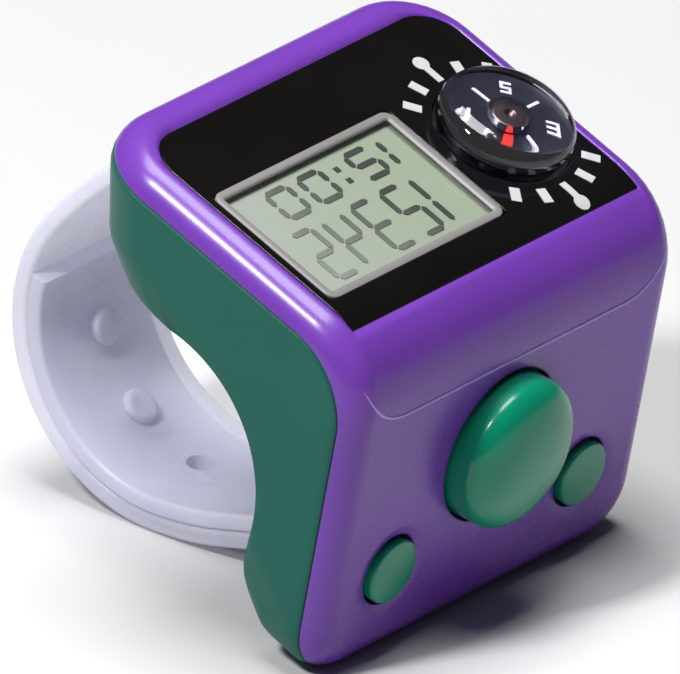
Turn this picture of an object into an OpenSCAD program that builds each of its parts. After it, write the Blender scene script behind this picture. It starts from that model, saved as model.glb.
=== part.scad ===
// Finger tally counter: a two-colour case with a display, a compass, three press
// buttons on its front face and a two-piece silicone ring band.
// The case is described lying flat: x runs along the finger, y to the back and z up,
// square to the display panel, from the middle of the panel's front edge.
// The whole counter is then tipped forward to the way it rests on a table, and its
// origin is the middle of the finger opening.

/* [Case] */
// Case width, along the finger
case_w = 37.6; // [36.4:0.1:40]
// From the panel's front edge to the case's back end
case_back = 24.9; // [24.4:0.1:25.6]
// Thickness of the flat body behind the finger
body_t = 9.5; // [9.3:0.1:10]
// From the top face down to the foot of the case
case_h = 27.8; // [27.2:0.1:29]
// From the panel's front edge to the sharp corner of top and front faces
front_reach = 3.35; // [3.1:0.05:3.8]
// How far the front face leans out, in degrees
front_tilt = 12.6; // [11.4:0.1:13.4]
// Radius of the roll between the top and the front face
roll_r = 7; // [6.4:0.1:7.4]
// Rounding of the case's edges
edge_r = 2.4; // [2.1:0.1:2.6]
// Radius of the two back corners, seen from above
corner_r = 6.4; // [5.8:0.1:6.8]
// Rounding of the body's lower back edge
low_edge_r = 3.2; // [2.8:0.1:3.4]
// How far the back end leans in, from its top to its lower edge
back_lean = 1.7; // [1.2:0.1:2]
// Radius of the foot's two corners, seen from the front
foot_corner_r = 4.6; // [4.2:0.1:5]
// Rounding of the foot's back edge, seen from the side
heel_r = 6.7; // [6.2:0.1:6.9]
// Wall of both shells
wall = 1.5; // [1.3:0.05:1.6]
// Depth of the joint line below the top face
part_top = 2; // [1.8:0.05:2.2]
// Depth of the joint line behind the front face
part_front = 1.6; // [1.55:0.05:1.9]
// Corner radius of the joint line, seen from the side
part_r = 6.4; // [5.8:0.1:6.8]
// Gap left along the joint line
part_gap = 0.1; // [0.06:0.02:0.16]

/* [Finger opening] */
// Radius of the arch over the finger
finger_r = 11; // [10.6:0.1:11.3]
// Finger axis behind the panel's front edge
finger_back = 10.8; // [10.6:0.1:11.1]
// Roundness shown on curved parts
$fn = 96; // [64:16:160]

/* [Display] */
// Case's border left and right of the black panel
panel_border = 2.35; // [2.1:0.05:2.8]
// Depth of the black panel
panel_d = 21.4; // [21:0.1:21.8]
// Thickness of the black panel
panel_t = 0.8; // [0.7:0.05:0.9]
// Radius of the panel's back corners
panel_r = 3.2; // [2.6:0.1:3.6]
// Display bezel's left end in from the panel's left edge
bezel_in = 0.68; // [0.5:0.02:0.9]
// Gap between the display bezel and the compass dome
bezel_to_dome = 1.17; // [1.05:0.02:1.4]
// Display centre behind the panel's front edge
lcd_y = 8.95; // [8.8:0.05:9.2]
// Depth of the display bezel
bezel_d = 12.3; // [12:0.1:12.6]
// Width of the bezel's rim
bezel_rim = 0.75; // [0.65:0.05:0.9]
// Height of the figures in the upper row
small_fig_h = 3.2; // [2.8:0.1:3.4]
// Height of the figures in the lower row
large_fig_h = 5.35; // [5:0.05:5.5]

/* [Buttons] */
// Diameter of the count button
count_d = 11.8; // [11.2:0.1:12]
// Height of the count button above the front face
count_rise = 3.7; // [3:0.1:4]
// Rounding of the count button's shoulder
count_shoulder_r = 1.9; // [1.4:0.1:2.2]
// Diameter of the two small buttons
small_button_d = 5.1; // [4.8:0.1:5.4]
// Height of the small buttons above the front face
small_rise = 0.5; // [0.4:0.05:0.8]
// Small buttons either side of the middle
small_button_x = 11; // [10.8:0.1:11.2]
// Count button's centre below the top corner, along the front face
count_s = 13.8; // [13.6:0.1:14]
// Small buttons' centres above the foot, along the front face
small_button_up = 8.1; // [7.8:0.1:8.2]
// Gap between a button and its hole
button_gap = 0.3; // [0.2:0.05:0.35]
// Travel of the count button
count_travel = 0.8; // [0.5:0.05:0.8]
// Travel of the small buttons
small_travel = 0.6; // [0.4:0.05:0.7]

/* [Compass] */
// Compass dome's edge in from the panel's right edge
dome_in = 0.35; // [0.3:0.01:0.45]
// Compass centre behind the panel's front edge
compass_y = 9.06; // [8.9:0.02:9.3]
// Radius of the compass dome
dome_r = 5.3; // [5.1:0.05:5.4]
// Height of the compass dome above the panel
dome_h = 2.9; // [2.7:0.05:3.3]
// Rounding of the dome's shoulder
dome_shoulder = 1.9; // [1.6:0.05:2.1]
// Radius of the compass card
card_r = 4.5; // [4.2:0.05:4.55]

/* [Band] */
// Width of the ring band
band_w = 13.9; // [13.2:0.1:14.4]
// Thickness of each of the two straps
strap_t = 1.35; // [1.25:0.05:1.45]
// Outer radius of the band's main bend
bend_r = 13.6; // [13.2:0.1:13.9]
// Centre of the main bend behind the panel's front edge
bend_y = 18.4; // [18.2:0.1:18.7]
// Centre of the main bend below the top face
bend_z = 23; // [22.7:0.1:23.3]
// Diameter of the adjusting holes
strap_hole_d = 2.2; // [1.8:0.1:2.4]
// Angle between neighbouring adjusting holes
hole_step = 35; // [33:0.5:36]

/* [Hidden] */

// Roundness of the shapes that a hull joins
hull_fn = 40;
// Overrun of a cut past the face it starts from
over = 0.5;
// Span that is larger than the whole counter
reach = 90;
// Thin gap between parts that fit into each other
fit = 0.1;
// Thickness of printed marks
ink_t = 0.05;

// Straight line tangent to the roll and both faces
roll_y = roll_r * tan((90 - front_tilt) / 2) - front_reach;
finger_z = -body_t - finger_r + fit;
leg_back_y = finger_back - finger_r;
back_low_y = case_back - back_lean;

// Foot of the case
foot_ring = foot_corner_r - edge_r;
foot_z = -case_h + foot_ring * cos(front_tilt) + edge_r;
foot_s = (-foot_z - edge_r * sin(front_tilt)) / cos(front_tilt);
foot_tip_y = -front_reach - (foot_s + foot_ring) * sin(front_tilt) + edge_r * cos(front_tilt);
foot_tip_z = -case_h + edge_r;
heel_z = -case_h + heel_r;
heel_ball_r = 3.7;
heel_ball_side = 4.2;
heel_ball_in = 4;
heel_ball_up = 3.8;

// The counter rests on the band's bend and on the front of the foot
rest_dy = bend_y - foot_tip_y;
rest_dz = foot_tip_z + bend_z;
rest_tilt = asin((bend_r - edge_r) / sqrt(rest_dy * rest_dy + rest_dz * rest_dz))
    + atan2(rest_dz, rest_dy);

// Display stack, from the top down
bezel_proud = 0.06;
bezel_corner_r = 0.6;
bezel_lip_t = 0.2;
bezel_foot = 0.3;
glass_t = 0.4;
segment_t = 0.06;
reflector_t = 0.14;
zebra_w = 1.2;
zebra_share = 0.653;
zebra_shift_share = 0.036;
board_t = 0.8;
board_top = 3.7;
glass_top = bezel_lip_t - bezel_proud;
segment_top = glass_top + glass_t;
back_glass_top = segment_top + segment_t;
reflector_top = back_glass_top + glass_t;
reflector_bottom = reflector_top + reflector_t;
panel_w = case_w - 2 * panel_border;
compass_x = panel_w / 2 - dome_in - dome_r;
bezel_w = panel_w - bezel_in - bezel_to_dome - 2 * dome_r - dome_in;
lcd_x = panel_w / 2 - bezel_in - bezel_w / 2;
stack_w = bezel_w - 2 * bezel_foot - 2 * fit;
stack_d = bezel_d - 2 * bezel_foot - 2 * fit;
window_w = bezel_w - 2 * bezel_rim;
window_d = bezel_d - 2 * bezel_rim;

// Figures of the display: places from the display's centre, across as shares of the window
fig_stroke = 0.5;
fig_gap = 0.08;
small_fig_w = 0.153 * window_w;
small_fig_pitch = 0.195 * window_w;
small_row_y = 1.55;
small_row_x = -0.309 * window_w;
colon_x = 0.1075 * window_w;
colon_dot = 0.5;
after_colon = 0.094 * window_w;
large_fig_w = 0.137 * window_w;
large_fig_pitch = 0.1785 * window_w;
large_row_y = -4.7;
large_row_x = -0.39 * window_w;
// Strokes that are dark in each figure, numbered round from the top and the middle last
FIG_ONE = [4, 5];
FIG_TWO = [0, 1, 6, 4, 3];
FIG_THREE = [0, 5, 6, 4, 3];
FIG_FOUR = [5, 6, 1, 4];
FIG_FIVE = [0, 5, 6, 2, 3];
FIG_ZERO = [0, 1, 2, 3, 4, 5];

// Circuit board and what is on it
board_edge = 6.4;
board_w = case_w - 2 * board_edge;
board_front = 0.2;
board_back = 19;
board_bottom = board_top + board_t;
blob_r = 2.6;
blob_h = 0.9;
blob_x = 6.4;
blob_y = 12.2;
crystal_r = 0.95;
crystal_len = 5.4;
crystal_edge = 3.2;
crystal_x = board_w / 2 - crystal_edge;
crystal_y = 4.4;
board_screw_r = 0.55;
board_head_r = 1;
board_head_t = 0.5;
board_boss_r = 1.2;
board_screw_in = 1.4;
board_screw_right = 3.2;
board_screw_back = 16.9;
board_screw_edge = 1.6;
board_screw_left = board_w / 2 - board_screw_edge;
board_screw_front = 1.45;
BOARD_SCREWS = [[board_screw_right, board_screw_back], [-board_screw_left, board_screw_front]];

// Battery under the board
cell_r = 3.95;
cell_h = 3.6;
door_edge = 7.4;
door_left = case_w / 2 - door_edge;
cell_in = 6.4;
cell_x = cell_in - door_left;
cell_y = 15.6;
top_contact_t = 0.25;
contact_t = 0.15;
contact_w = 2.4;
contact_len = 6.6;
door_t = 1;
door_w = 13.4;
door_right = door_w - door_left;
door_front = 11.3;
door_back = 19.75;
door_corner_r = 0.8;
door_screw_in = 1.45;
door_screw_x = door_right - door_screw_in;
door_screw_r = 0.6;
door_head_r = 1;
door_head_t = 0.45;
door_boss_r = 1.2;
door_boss_h = 2;
door_gap = 0.1;
grip_w = 3.2;
grip_t = 0.5;
grip_depth = 0.3;
grip_step = 1.1;
cell_top = board_bottom + top_contact_t;
cell_bottom = cell_top + cell_h;

// Case screws: two up through the body, two forward through the leg
screw_r = 0.75;
screw_head_r = 1.25;
screw_head_t = 0.8;
boss_r = 1.5;
screw_fit = 0.05;
body_screw_edge = 4.5;
body_screw_x = case_w / 2 - body_screw_edge;
body_screw_y = 15.6;
body_boss_bottom = 5.2;
body_screw_in = 2.3;
leg_screw_edge = 3.4;
leg_screw_x = case_w / 2 - leg_screw_edge;
leg_screw_up = 5.9;
leg_screw_z = case_h - leg_screw_up;
leg_boss_r = 1.2;
leg_boss_end = 2.4;
leg_screw_in = 2.4;
slot_w = 0.3;
slot_depth = 0.3;

// Buttons, measured inward from the front face
flange_t = 0.7;
flange_gap = 0.2;
flange_lip = 0.7;
flange_front = wall + flange_gap;
count_dome_r = 16;
count_dish_depth = 0.3;
dish_depth = 0.45;
dish_rim = 1.2;
small_dome_r = 12;
membrane_gap = 0.1;
membrane_front = flange_front + flange_t + count_travel + membrane_gap;
pad_t = 0.3;
membrane_t = 0.6;
pad_r = 2.4;
small_pad_r = 1.9;
sheet_front = membrane_front + pad_t;
key_front = sheet_front + membrane_t;
key_t = 0.6;
small_button_s = case_h / cos(front_tilt) - small_button_up;
key_top_s = 8.2;
key_under = 0.9;
key_bottom_s = small_button_s + key_under;
key_w = 25.6;
post_r = 0.9;
post_x = 10.2;
post_over = 6.2;
post_s = small_button_s - post_over;
low_post_x = 6.6;
low_post_under = 4.4;
low_post_s = count_s + low_post_under;
key_notch_w = 15;
key_notch_s = small_button_s - key_under;
key_screw_r = 0.35;
key_head_r = 0.7;
key_head_t = 0.35;
key_screw_in = 1.2;
ribbon_w = 7;
ribbon_t = 0.15;
ribbon_drop = 1.2;
ribbon_in = 1.4;
ribbon_lap_len = 1.5;

// Compass, measured up from the top face
cup_t = 0.45;
cup_bottom = 3.55;
cup_top = 0.3;
cup_flange_lip = 0.3;
cup_flange_t = 0.5;
dome_t = 0.45;
card_t = 0.25;
card_top = 0.45;
magnet_r = 1.9;
magnet_bore_r = 0.85;
magnet_t = 0.9;
pin_r = 0.3;
pin_fit = 0.05;
pin_root_r = 0.7;
pin_root_h = 0.6;
pin_top = 0.75;
hub_r = 1.45;
hub_h = 0.75;
hub_skirt_r = 0.7;
hub_skirt = 0.5;
hub_round = 0.3;
card_line_len = 1.5;
card_line_w = 0.24;
card_line_in = 1.9;
letter_h = 1.2;
letter_w = 0.85;
letter_stroke = 0.22;
letter_in = 2.6;
arrow_in = 1.55;
arrow_out = 4.1;
arrow_w = 1.7;
arrow_neck_share = 0.45;
arrow_tail_share = 0.4;
// Bearing of the red arrow at rest, from the right and turning to the back
north_turn = 225;
scale_r = 6.1;
scale_len = 1.45;
scale_bar_w = 0.8;
scale_stem_w = 0.62;
scale_step = 20;
scale_knob_r = 0.66;

// Ring band: angles are turned from the back towards the top, about each bend's centre
upper_bend_r = 40;
lower_bend_r = 30;
upper_from = 44.5;
upper_slot_to = 30;
bend_from = 17;
bend_to = -113;
front_tip = -6;
rear_bulb_r = 1.25;
front_bulb_r = 1;
front_bulb_y = -3;
front_bulb_up = 5.6;
front_bulb_z = case_h - front_bulb_up;
rear_end_len = 5.5;
slot_clear = 0.1;
upper_steps = 14;
bend_steps = 43;
lower_steps = 5;
first_hole = -37;
HOLES = [0, 1, 2];
PEGS = [0, 1];
peg_head_over = 0.35;
peg_head_t = 0.45;
peg_fit = 0.08;
strap_gap = 0.02;
bend_c = [bend_y, -bend_z];
upper_c = bend_centre(bend_from, upper_bend_r);
lower_c = bend_centre(bend_to, lower_bend_r);
front_in = bend_r - strap_t - strap_gap;
tail_turn = tangent_angle(front_bulb(), lower_c, front_lower_r());

function bend_centre(a, r) = [bend_y + (bend_r - r) * cos(a), -bend_z + (bend_r - r) * sin(a)];
function on_arc(c, r, a) = [c[0] + r * cos(a), c[1] + r * sin(a)];
// Where a line from a point touches a circle
function tangent_angle(p, c, r) = atan2(p[1] - c[1], p[0] - c[0]) + acos(r / norm(p - c));

// Frames

module resting() {
    rotate([rest_tilt, 0, 0]) translate([0, -finger_back, -finger_z]) children();
}

module side_plane() {
    rotate([90, 0, 90]) children();
}

module on_front(s) {
    translate([0, -front_reach, 0]) rotate([90 - front_tilt, 0, 0]) translate([0, -s, 0]) children();
}

module at_compass() {
    translate([compass_x, compass_y, 0]) children();
}

module at_lcd() {
    translate([-lcd_x, lcd_y, 0]) children();
}

// Case shapes

module ring_edge(r, edge, inset) {
    rotate_extrude($fn = hull_fn) intersection() {
        translate([r - edge, 0]) circle(edge - inset, $fn = hull_fn);
        translate([0, -edge]) square([r, 2 * edge]);
    }
}

module case_form(inset = 0) {
    hull() for (side = [-1, 1]) {
        translate([side * (case_w / 2 - corner_r), case_back - corner_r, -edge_r])
            ring_edge(corner_r, edge_r, inset);
        translate([side * (case_w / 2 - corner_r), back_low_y - corner_r, -body_t + low_edge_r])
            ring_edge(corner_r, low_edge_r, inset);
        translate([side * (case_w / 2 - edge_r), roll_y, -roll_r])
            rotate([0, 90, 0]) ring_edge(roll_r, edge_r, inset);
        translate([side * (case_w / 2 - foot_corner_r), 0, 0])
            on_front(foot_s) translate([0, 0, -edge_r]) ring_edge(foot_corner_r, edge_r, inset);
        translate([side * (case_w / 2 - heel_ball_side), leg_back_y - heel_ball_in, heel_ball_up - case_h])
            sphere(heel_ball_r - inset, $fn = hull_fn);
    }
}

// What the side view of the case leaves out: the finger arch, the room behind the leg
// and the round of the heel
module under_side(inset = 0) {
    side_plane() linear_extrude(reach, center = true) {
        translate([finger_back, finger_z]) circle(finger_r + inset);
        translate([finger_back, -reach]) square([reach, reach - body_t + inset]);
        translate([leg_back_y - inset, finger_z - reach]) square([reach, reach]);
        translate([leg_back_y - heel_r, heel_z]) difference() {
            translate([0, -reach]) square([reach, reach]);
            circle(heel_r - inset);
        }
    }
}

module case_solid(inset = 0) {
    difference() {
        case_form(inset);
        under_side(inset);
    }
}

// The side view behind and below the joint line, moved in by a gap
module lower_region(gap = 0) {
    r = part_r - gap;
    line_y = -front_reach + (part_front) / cos(front_tilt);
    cz = -part_top - part_r;
    cy = line_y + cz * tan(front_tilt) + part_r / cos(front_tilt);
    side_plane() linear_extrude(reach, center = true) {
        translate([cy, cz]) circle(r);
        translate([cy, cz - reach]) square([reach, reach + r]);
        translate([cy, cz]) rotate(-front_tilt) translate([-r, -reach]) square([reach, reach]);
    }
}

module rounded_rectangle(w, d, r) {
    square([w - 2 * r, d], center = true);
    square([w, d - 2 * r], center = true);
    for (x = [-1, 1], y = [-1, 1]) translate([x * (w / 2 - r), y * (d / 2 - r)]) circle(r);
}

module slab(w, d, r, t) {
    linear_extrude(t) rounded_rectangle(w, d, r);
}

module panel_plan(grow = 0) {
    w = panel_w / 2 + grow;
    d = panel_d + grow;
    translate([-w, -grow]) square([2 * w, d + grow - panel_r]);
    translate([-w + panel_r, d - panel_r]) square([2 * w - 2 * panel_r, panel_r]);
    for (x = [-1, 1]) translate([x * (w - panel_r), d - panel_r]) circle(panel_r);
}

// Everything under the flat top and its roll, raised by a little
module below_top(raise = 0) {
    side_plane() linear_extrude(reach, center = true) {
        translate([roll_y, -reach]) square([reach, reach + raise]);
        translate([roll_y, -roll_r]) circle(roll_r + raise);
    }
}

// Shallow dish round a button
module dish(r, depth) {
    ball = (r * r + depth * depth) / (2 * depth);
    translate([0, 0, ball - depth]) sphere(ball);
}

module each_small_button() {
    for (x = [-1, 1]) translate([x * small_button_x, 0, 0]) on_front(small_button_s) children();
}

module each_key_screw() {
    for (x = [-1, 1]) translate([x * post_x, 0, 0]) on_front(post_s) children();
}

module each_post() {
    each_key_screw() children();
    for (x = [-1, 1]) translate([x * low_post_x, 0, 0]) on_front(low_post_s) children();
}

module each_body_screw() {
    for (x = [-1, 1]) translate([x * body_screw_x, body_screw_y, -body_t]) children();
}

module each_leg_screw() {
    for (x = [-1, 1]) translate([x * leg_screw_x, leg_back_y, -leg_screw_z])
        rotate([90, 0, 0]) children();
}

module slotted_screw(r, head_r, head_t, length) {
    difference() {
        union() {
            cylinder(r = head_r, h = head_t);
            cylinder(r = r, h = length);
        }
        translate([-head_r, -slot_w / 2, -over]) cube([2 * head_r, slot_w, slot_depth + over]);
    }
}

// Hole through the lower shell, with room for the head
module screw_room() {
    translate([0, 0, -over]) cylinder(r = screw_head_r + screw_fit, h = screw_head_t + over);
    cylinder(r = screw_r + screw_fit, h = body_t);
}

module upper_shell() {
    color([0.46, 0.24, 0.78]) resting() difference() {
        union() {
            difference() {
                case_solid();
                case_solid(wall);
                lower_region();
            }
            intersection() {
                case_form(wall / 2);
                union() {
                    each_body_screw() translate([0, 0, body_t - body_boss_bottom])
                        cylinder(r = boss_r, h = body_boss_bottom);
                    each_leg_screw() translate([0, 0, leg_boss_end]) cylinder(r = leg_boss_r, h = reach);
                    for (p = BOARD_SCREWS) translate([p[0], p[1], -board_top])
                        cylinder(r = board_boss_r, h = board_top);
                    each_post() translate([0, 0, -key_front]) cylinder(r = post_r, h = key_front);
                }
            }
        }
        translate([0, 0, -panel_t]) linear_extrude(reach) panel_plan(fit / 2);
        at_lcd() translate([0, 0, -wall - over])
            linear_extrude(reach) square([stack_w + 2 * fit, stack_d + 2 * fit], center = true);
        at_compass() translate([0, 0, -wall - over]) cylinder(r = dome_r + fit, h = reach);
        on_front(count_s) translate([0, 0, -wall - over]) cylinder(d = count_d + 2 * button_gap, h = reach);
        on_front(count_s) dish(count_d / 2 + dish_rim, count_dish_depth);
        each_small_button() translate([0, 0, -wall - over])
            cylinder(d = small_button_d + 2 * button_gap, h = reach);
        each_small_button() dish(small_button_d / 2 + dish_rim, dish_depth);
        each_body_screw() translate([0, 0, body_t - body_boss_bottom - over])
            cylinder(r = screw_r + screw_fit, h = body_screw_in + over + screw_fit);
        each_leg_screw() translate([0, 0, leg_boss_end - over])
            cylinder(r = screw_r + screw_fit, h = leg_screw_in + over + screw_fit);
        for (p = BOARD_SCREWS) translate([p[0], p[1], -board_top - over])
            cylinder(r = board_screw_r + screw_fit, h = board_screw_in + over + screw_fit);
        each_key_screw() translate([0, 0, -key_front - over])
            cylinder(r = key_screw_r + screw_fit, h = key_screw_in + over + screw_fit);
    }
}

// Room for a strap's arc through a wall
module strap_slot(c, from, to, r_out) {
    side_plane() translate([c[0], c[1], 0]) rotate(to) rotate_extrude(angle = from - to)
        translate([r_out - strap_t - slot_clear, -band_w / 2 - slot_clear])
        square([strap_t + 2 * slot_clear, band_w + 2 * slot_clear]);
}

module lower_shell() {
    color([0.1, 0.42, 0.36]) resting() difference() {
        union() {
            difference() {
                intersection() {
                    case_solid();
                    lower_region(part_gap);
                }
                case_solid(wall);
            }
            intersection() {
                case_solid(wall / 2);
                union() {
                    each_body_screw() cylinder(r = boss_r, h = body_t - body_boss_bottom - part_gap);
                    each_leg_screw() cylinder(r = leg_boss_r, h = leg_boss_end - part_gap);
                    translate([door_screw_x, cell_y, -body_t])
                        cylinder(r = door_boss_r, h = door_t + door_boss_h);
                }
            }
        }
        each_body_screw() screw_room();
        each_leg_screw() screw_room();
        translate([0, 0, -body_t - over]) linear_extrude(door_t + over) door_plan(door_gap);
        translate([cell_x, cell_y, -body_t]) cylinder(r = cell_r + fit, h = body_t - cell_top);
        translate([door_screw_x, cell_y, -body_t])
            cylinder(r = door_screw_r + screw_fit, h = door_t + door_boss_h - screw_fit);
        strap_slot(upper_c, upper_from, upper_slot_to, upper_bend_r);
        strap_tail(front_bulb(), front_root(), slot_clear);
    }
}

module door_plan(grow = 0) {
    d = door_back - door_front + 2 * grow;
    translate([(door_right - door_left) / 2, (door_front + door_back) / 2])
        rounded_rectangle(door_w + 2 * grow, d, door_corner_r);
}

// Display

module window_panel() {
    color([0.03, 0.03, 0.035]) resting() intersection() {
        difference() {
            translate([0, 0, -panel_t]) linear_extrude(2 * panel_t) panel_plan();
            at_lcd() translate([0, 0, -panel_t - over])
                slab(bezel_w + fit, bezel_d + fit, bezel_corner_r, reach);
            at_compass() translate([0, 0, -panel_t - over]) cylinder(r = dome_r + fit, h = reach);
        }
        below_top();
    }
}

module lcd_bezel() {
    color([0.62, 0.6, 0.62]) resting() at_lcd() difference() {
        translate([0, 0, -panel_t]) slab(bezel_w, bezel_d, bezel_corner_r, panel_t + bezel_proud);
        translate([0, 0, -panel_t - over])
            linear_extrude(reach) square([window_w, window_d], center = true);
        translate([0, 0, -panel_t - over]) linear_extrude(panel_t + over - glass_top)
            square([stack_w + fit, stack_d + fit], center = true);
    }
}

module stack_sheet(top, t) {
    resting() at_lcd() translate([0, 0, -top - t])
        linear_extrude(t) square([stack_w, stack_d], center = true);
}

module lcd_front_glass() {
    color([0.8, 0.88, 0.82, 0.4]) stack_sheet(glass_top, glass_t);
}

module lcd_back_glass() {
    color([0.72, 0.78, 0.7]) stack_sheet(back_glass_top, glass_t);
}

module lcd_reflector() {
    color([0.8, 0.82, 0.8]) stack_sheet(reflector_top, reflector_t);
}

// One stroke of a figure, pointed at both ends
module stroke(length) {
    half = fig_stroke / 2;
    near_end = length - half;
    polygon([[0, 0], [half, half], [near_end, half], [length, 0], [near_end, -half], [half, -half]]);
}

module figure(strokes, w, h) {
    inner_w = w - fig_stroke;
    half_h = (h - fig_stroke) / 2;
    across = inner_w - 2 * fig_gap;
    along = half_h - 2 * fig_gap;
    places = [[0, 2, 0], [inner_w, 2, 90], [inner_w, 1, 90], [0, 0, 0], [0, 1, 90], [0, 2, 90],
        [0, 1, 0]];
    for (i = strokes) {
        p = places[i];
        at_y = half_h * p[1] - (p[2] == 90 ? fig_gap : 0);
        at_x = p[0] + (p[2] == 90 ? 0 : fig_gap);
        translate([fig_stroke / 2 + at_x, fig_stroke / 2 + at_y]) rotate(-p[2])
            stroke(p[2] == 90 ? along : across);
    }
}

module lcd_segments() {
    small_row = [FIG_ZERO, FIG_ZERO, FIG_FIVE, FIG_ONE];
    large_row = [FIG_TWO, FIG_FOUR, FIG_THREE, FIG_FIVE, FIG_ONE];
    color([0.2, 0.23, 0.2]) resting() at_lcd() translate([0, 0, -back_glass_top])
    linear_extrude(segment_t) {
        for (i = [0:len(small_row) - 1])
            translate([small_row_x + i * small_fig_pitch + (i > 1 ? after_colon : 0), small_row_y])
            figure(small_row[i], small_fig_w, small_fig_h);
        for (share = [0.3, 0.7]) translate([colon_x, small_row_y + share * small_fig_h])
            square(colon_dot, center = true);
        for (i = [0:len(large_row) - 1]) translate([large_row_x + i * large_fig_pitch, large_row_y])
            figure(large_row[i], large_fig_w, large_fig_h);
    }
}

module zebra_strips() {
    color([0.5, 0.45, 0.5]) resting() at_lcd() for (y = [-1, 1])
        translate([zebra_shift_share * stack_w, y * (stack_d - zebra_w) / 2, -board_top])
        linear_extrude(board_top - reflector_bottom) square([zebra_share * stack_w, zebra_w], center = true);
}

module circuit_board() {
    color([0.1, 0.38, 0.2]) resting() difference() {
        translate([-board_w / 2, board_front, -board_bottom])
            cube([board_w, board_back - board_front, board_t]);
        for (p = BOARD_SCREWS) translate([p[0], p[1], -board_bottom - over])
            cylinder(r = board_screw_r + screw_fit, h = reach);
    }
}

module controller_blob() {
    ball = (blob_r * blob_r + blob_h * blob_h) / (2 * blob_h);
    color([0.05, 0.05, 0.06]) resting() translate([blob_x, blob_y, -board_bottom]) intersection() {
        translate([0, 0, ball - blob_h]) sphere(ball);
        translate([0, 0, -blob_h]) cylinder(r = blob_r, h = blob_h);
    }
}

module timing_crystal() {
    color([0.75, 0.76, 0.78]) resting() translate([crystal_x, crystal_y, -board_bottom - crystal_r])
        rotate([-90, 0, 0]) cylinder(r = crystal_r, h = crystal_len);
}

module board_screws() {
    color([0.7, 0.7, 0.72]) resting() for (p = BOARD_SCREWS)
        translate([p[0], p[1], -board_bottom - board_head_t])
        slotted_screw(board_screw_r, board_head_r, board_head_t, board_head_t + board_t + board_screw_in);
}

// Battery

module battery_cell() {
    color([0.8, 0.8, 0.82]) resting() translate([cell_x, cell_y, -cell_bottom])
        cylinder(r = cell_r, h = cell_h);
}

module battery_top_contact() {
    color([0.85, 0.7, 0.35]) resting() translate([cell_x, cell_y, -cell_top])
        linear_extrude(top_contact_t) square([contact_w, contact_len], center = true);
}

module battery_door_contact() {
    color([0.85, 0.7, 0.35]) resting() translate([cell_x, cell_y, -body_t + door_t])
        linear_extrude(body_t - door_t - cell_bottom) square([contact_w, contact_len], center = true);
}

module battery_door() {
    color([0.1, 0.4, 0.34]) resting() difference() {
        translate([0, 0, -body_t]) linear_extrude(door_t) door_plan();
        translate([door_screw_x, cell_y, -body_t - over])
            cylinder(r = door_head_r + screw_fit, h = door_head_t + over);
        translate([door_screw_x, cell_y, -body_t]) cylinder(r = door_screw_r + screw_fit, h = door_t + over);
        for (i = [-1, 0, 1]) translate([-door_left + grip_w + i * grip_step, cell_y, -body_t])
            cube([grip_t, grip_w, 2 * grip_depth], center = true);
    }
}

module battery_door_screw() {
    color([0.7, 0.7, 0.72]) resting() translate([door_screw_x, cell_y, -body_t])
        slotted_screw(door_screw_r, door_head_r, door_head_t, door_t + door_boss_h - 2 * screw_fit);
}

module case_screw(length) {
    slotted_screw(screw_r, screw_head_r, screw_head_t, length);
}

module case_screws() {
    color([0.7, 0.7, 0.72]) resting() {
        each_body_screw() case_screw(body_t - body_boss_bottom + body_screw_in);
        each_leg_screw() case_screw(leg_boss_end + leg_screw_in);
    }
}

// Buttons

module count_button() {
    r = count_d / 2;
    color([0.08, 0.55, 0.42]) resting() on_front(count_s) {
        intersection() {
            translate([0, 0, -flange_front]) rotate_extrude()
                dome_plan(r, flange_front + count_rise, count_shoulder_r);
            translate([0, 0, count_rise - count_dome_r]) sphere(count_dome_r);
        }
        translate([0, 0, -flange_front - flange_t]) cylinder(r = r + flange_lip, h = flange_t);
    }
}

module small_button(side) {
    r = small_button_d / 2;
    translate([side * small_button_x, 0, 0]) on_front(small_button_s) {
        intersection() {
            translate([0, 0, -flange_front]) cylinder(r = r, h = flange_front + small_rise);
            translate([0, 0, small_rise - small_dome_r]) sphere(small_dome_r);
        }
        translate([0, 0, -flange_front - flange_t]) cylinder(r = r + flange_lip, h = flange_t);
    }
}

module reset_button() {
    color([0.1, 0.5, 0.4]) resting() small_button(-1);
}

module mode_button() {
    color([0.1, 0.5, 0.4]) resting() small_button(1);
}

module button_membrane() {
    color([0.85, 0.85, 0.83]) resting() difference() {
        union() {
            on_front((key_top_s + key_bottom_s) / 2) translate([0, 0, -key_front])
                linear_extrude(membrane_t) square([key_w, key_bottom_s - key_top_s], center = true);
            on_front(count_s) translate([0, 0, -sheet_front]) cylinder(r = pad_r, h = pad_t);
            each_small_button() translate([0, 0, -sheet_front]) intersection() {
                cylinder(r = small_pad_r, h = pad_t);
                translate([-reach / 2, small_button_s - key_bottom_s, -over]) cube([reach, reach, reach]);
            }
        }
        each_post() translate([0, 0, -key_front - over]) cylinder(r = post_r + fit, h = reach);
        key_notch();
    }
}

// Room for the front strap's bulb at the foot of the key board
module key_notch() {
    on_front(key_notch_s) translate([-key_notch_w / 2, -reach, -reach / 2])
        cube([key_notch_w, reach, reach]);
}

module key_board() {
    color([0.1, 0.38, 0.2]) resting() difference() {
        on_front((key_top_s + key_bottom_s) / 2) translate([0, 0, -key_front - key_t])
            linear_extrude(key_t) square([key_w, key_bottom_s - key_top_s], center = true);
        each_key_screw() translate([0, 0, -reach / 2]) cylinder(r = key_screw_r + screw_fit, h = reach);
        key_notch();
    }
}

module key_board_screws() {
    color([0.7, 0.7, 0.72]) resting() each_key_screw() translate([0, 0, -key_front - key_t - key_head_t])
        slotted_screw(key_screw_r, key_head_r, key_head_t, key_head_t + key_t + key_screw_in);
}

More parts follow.
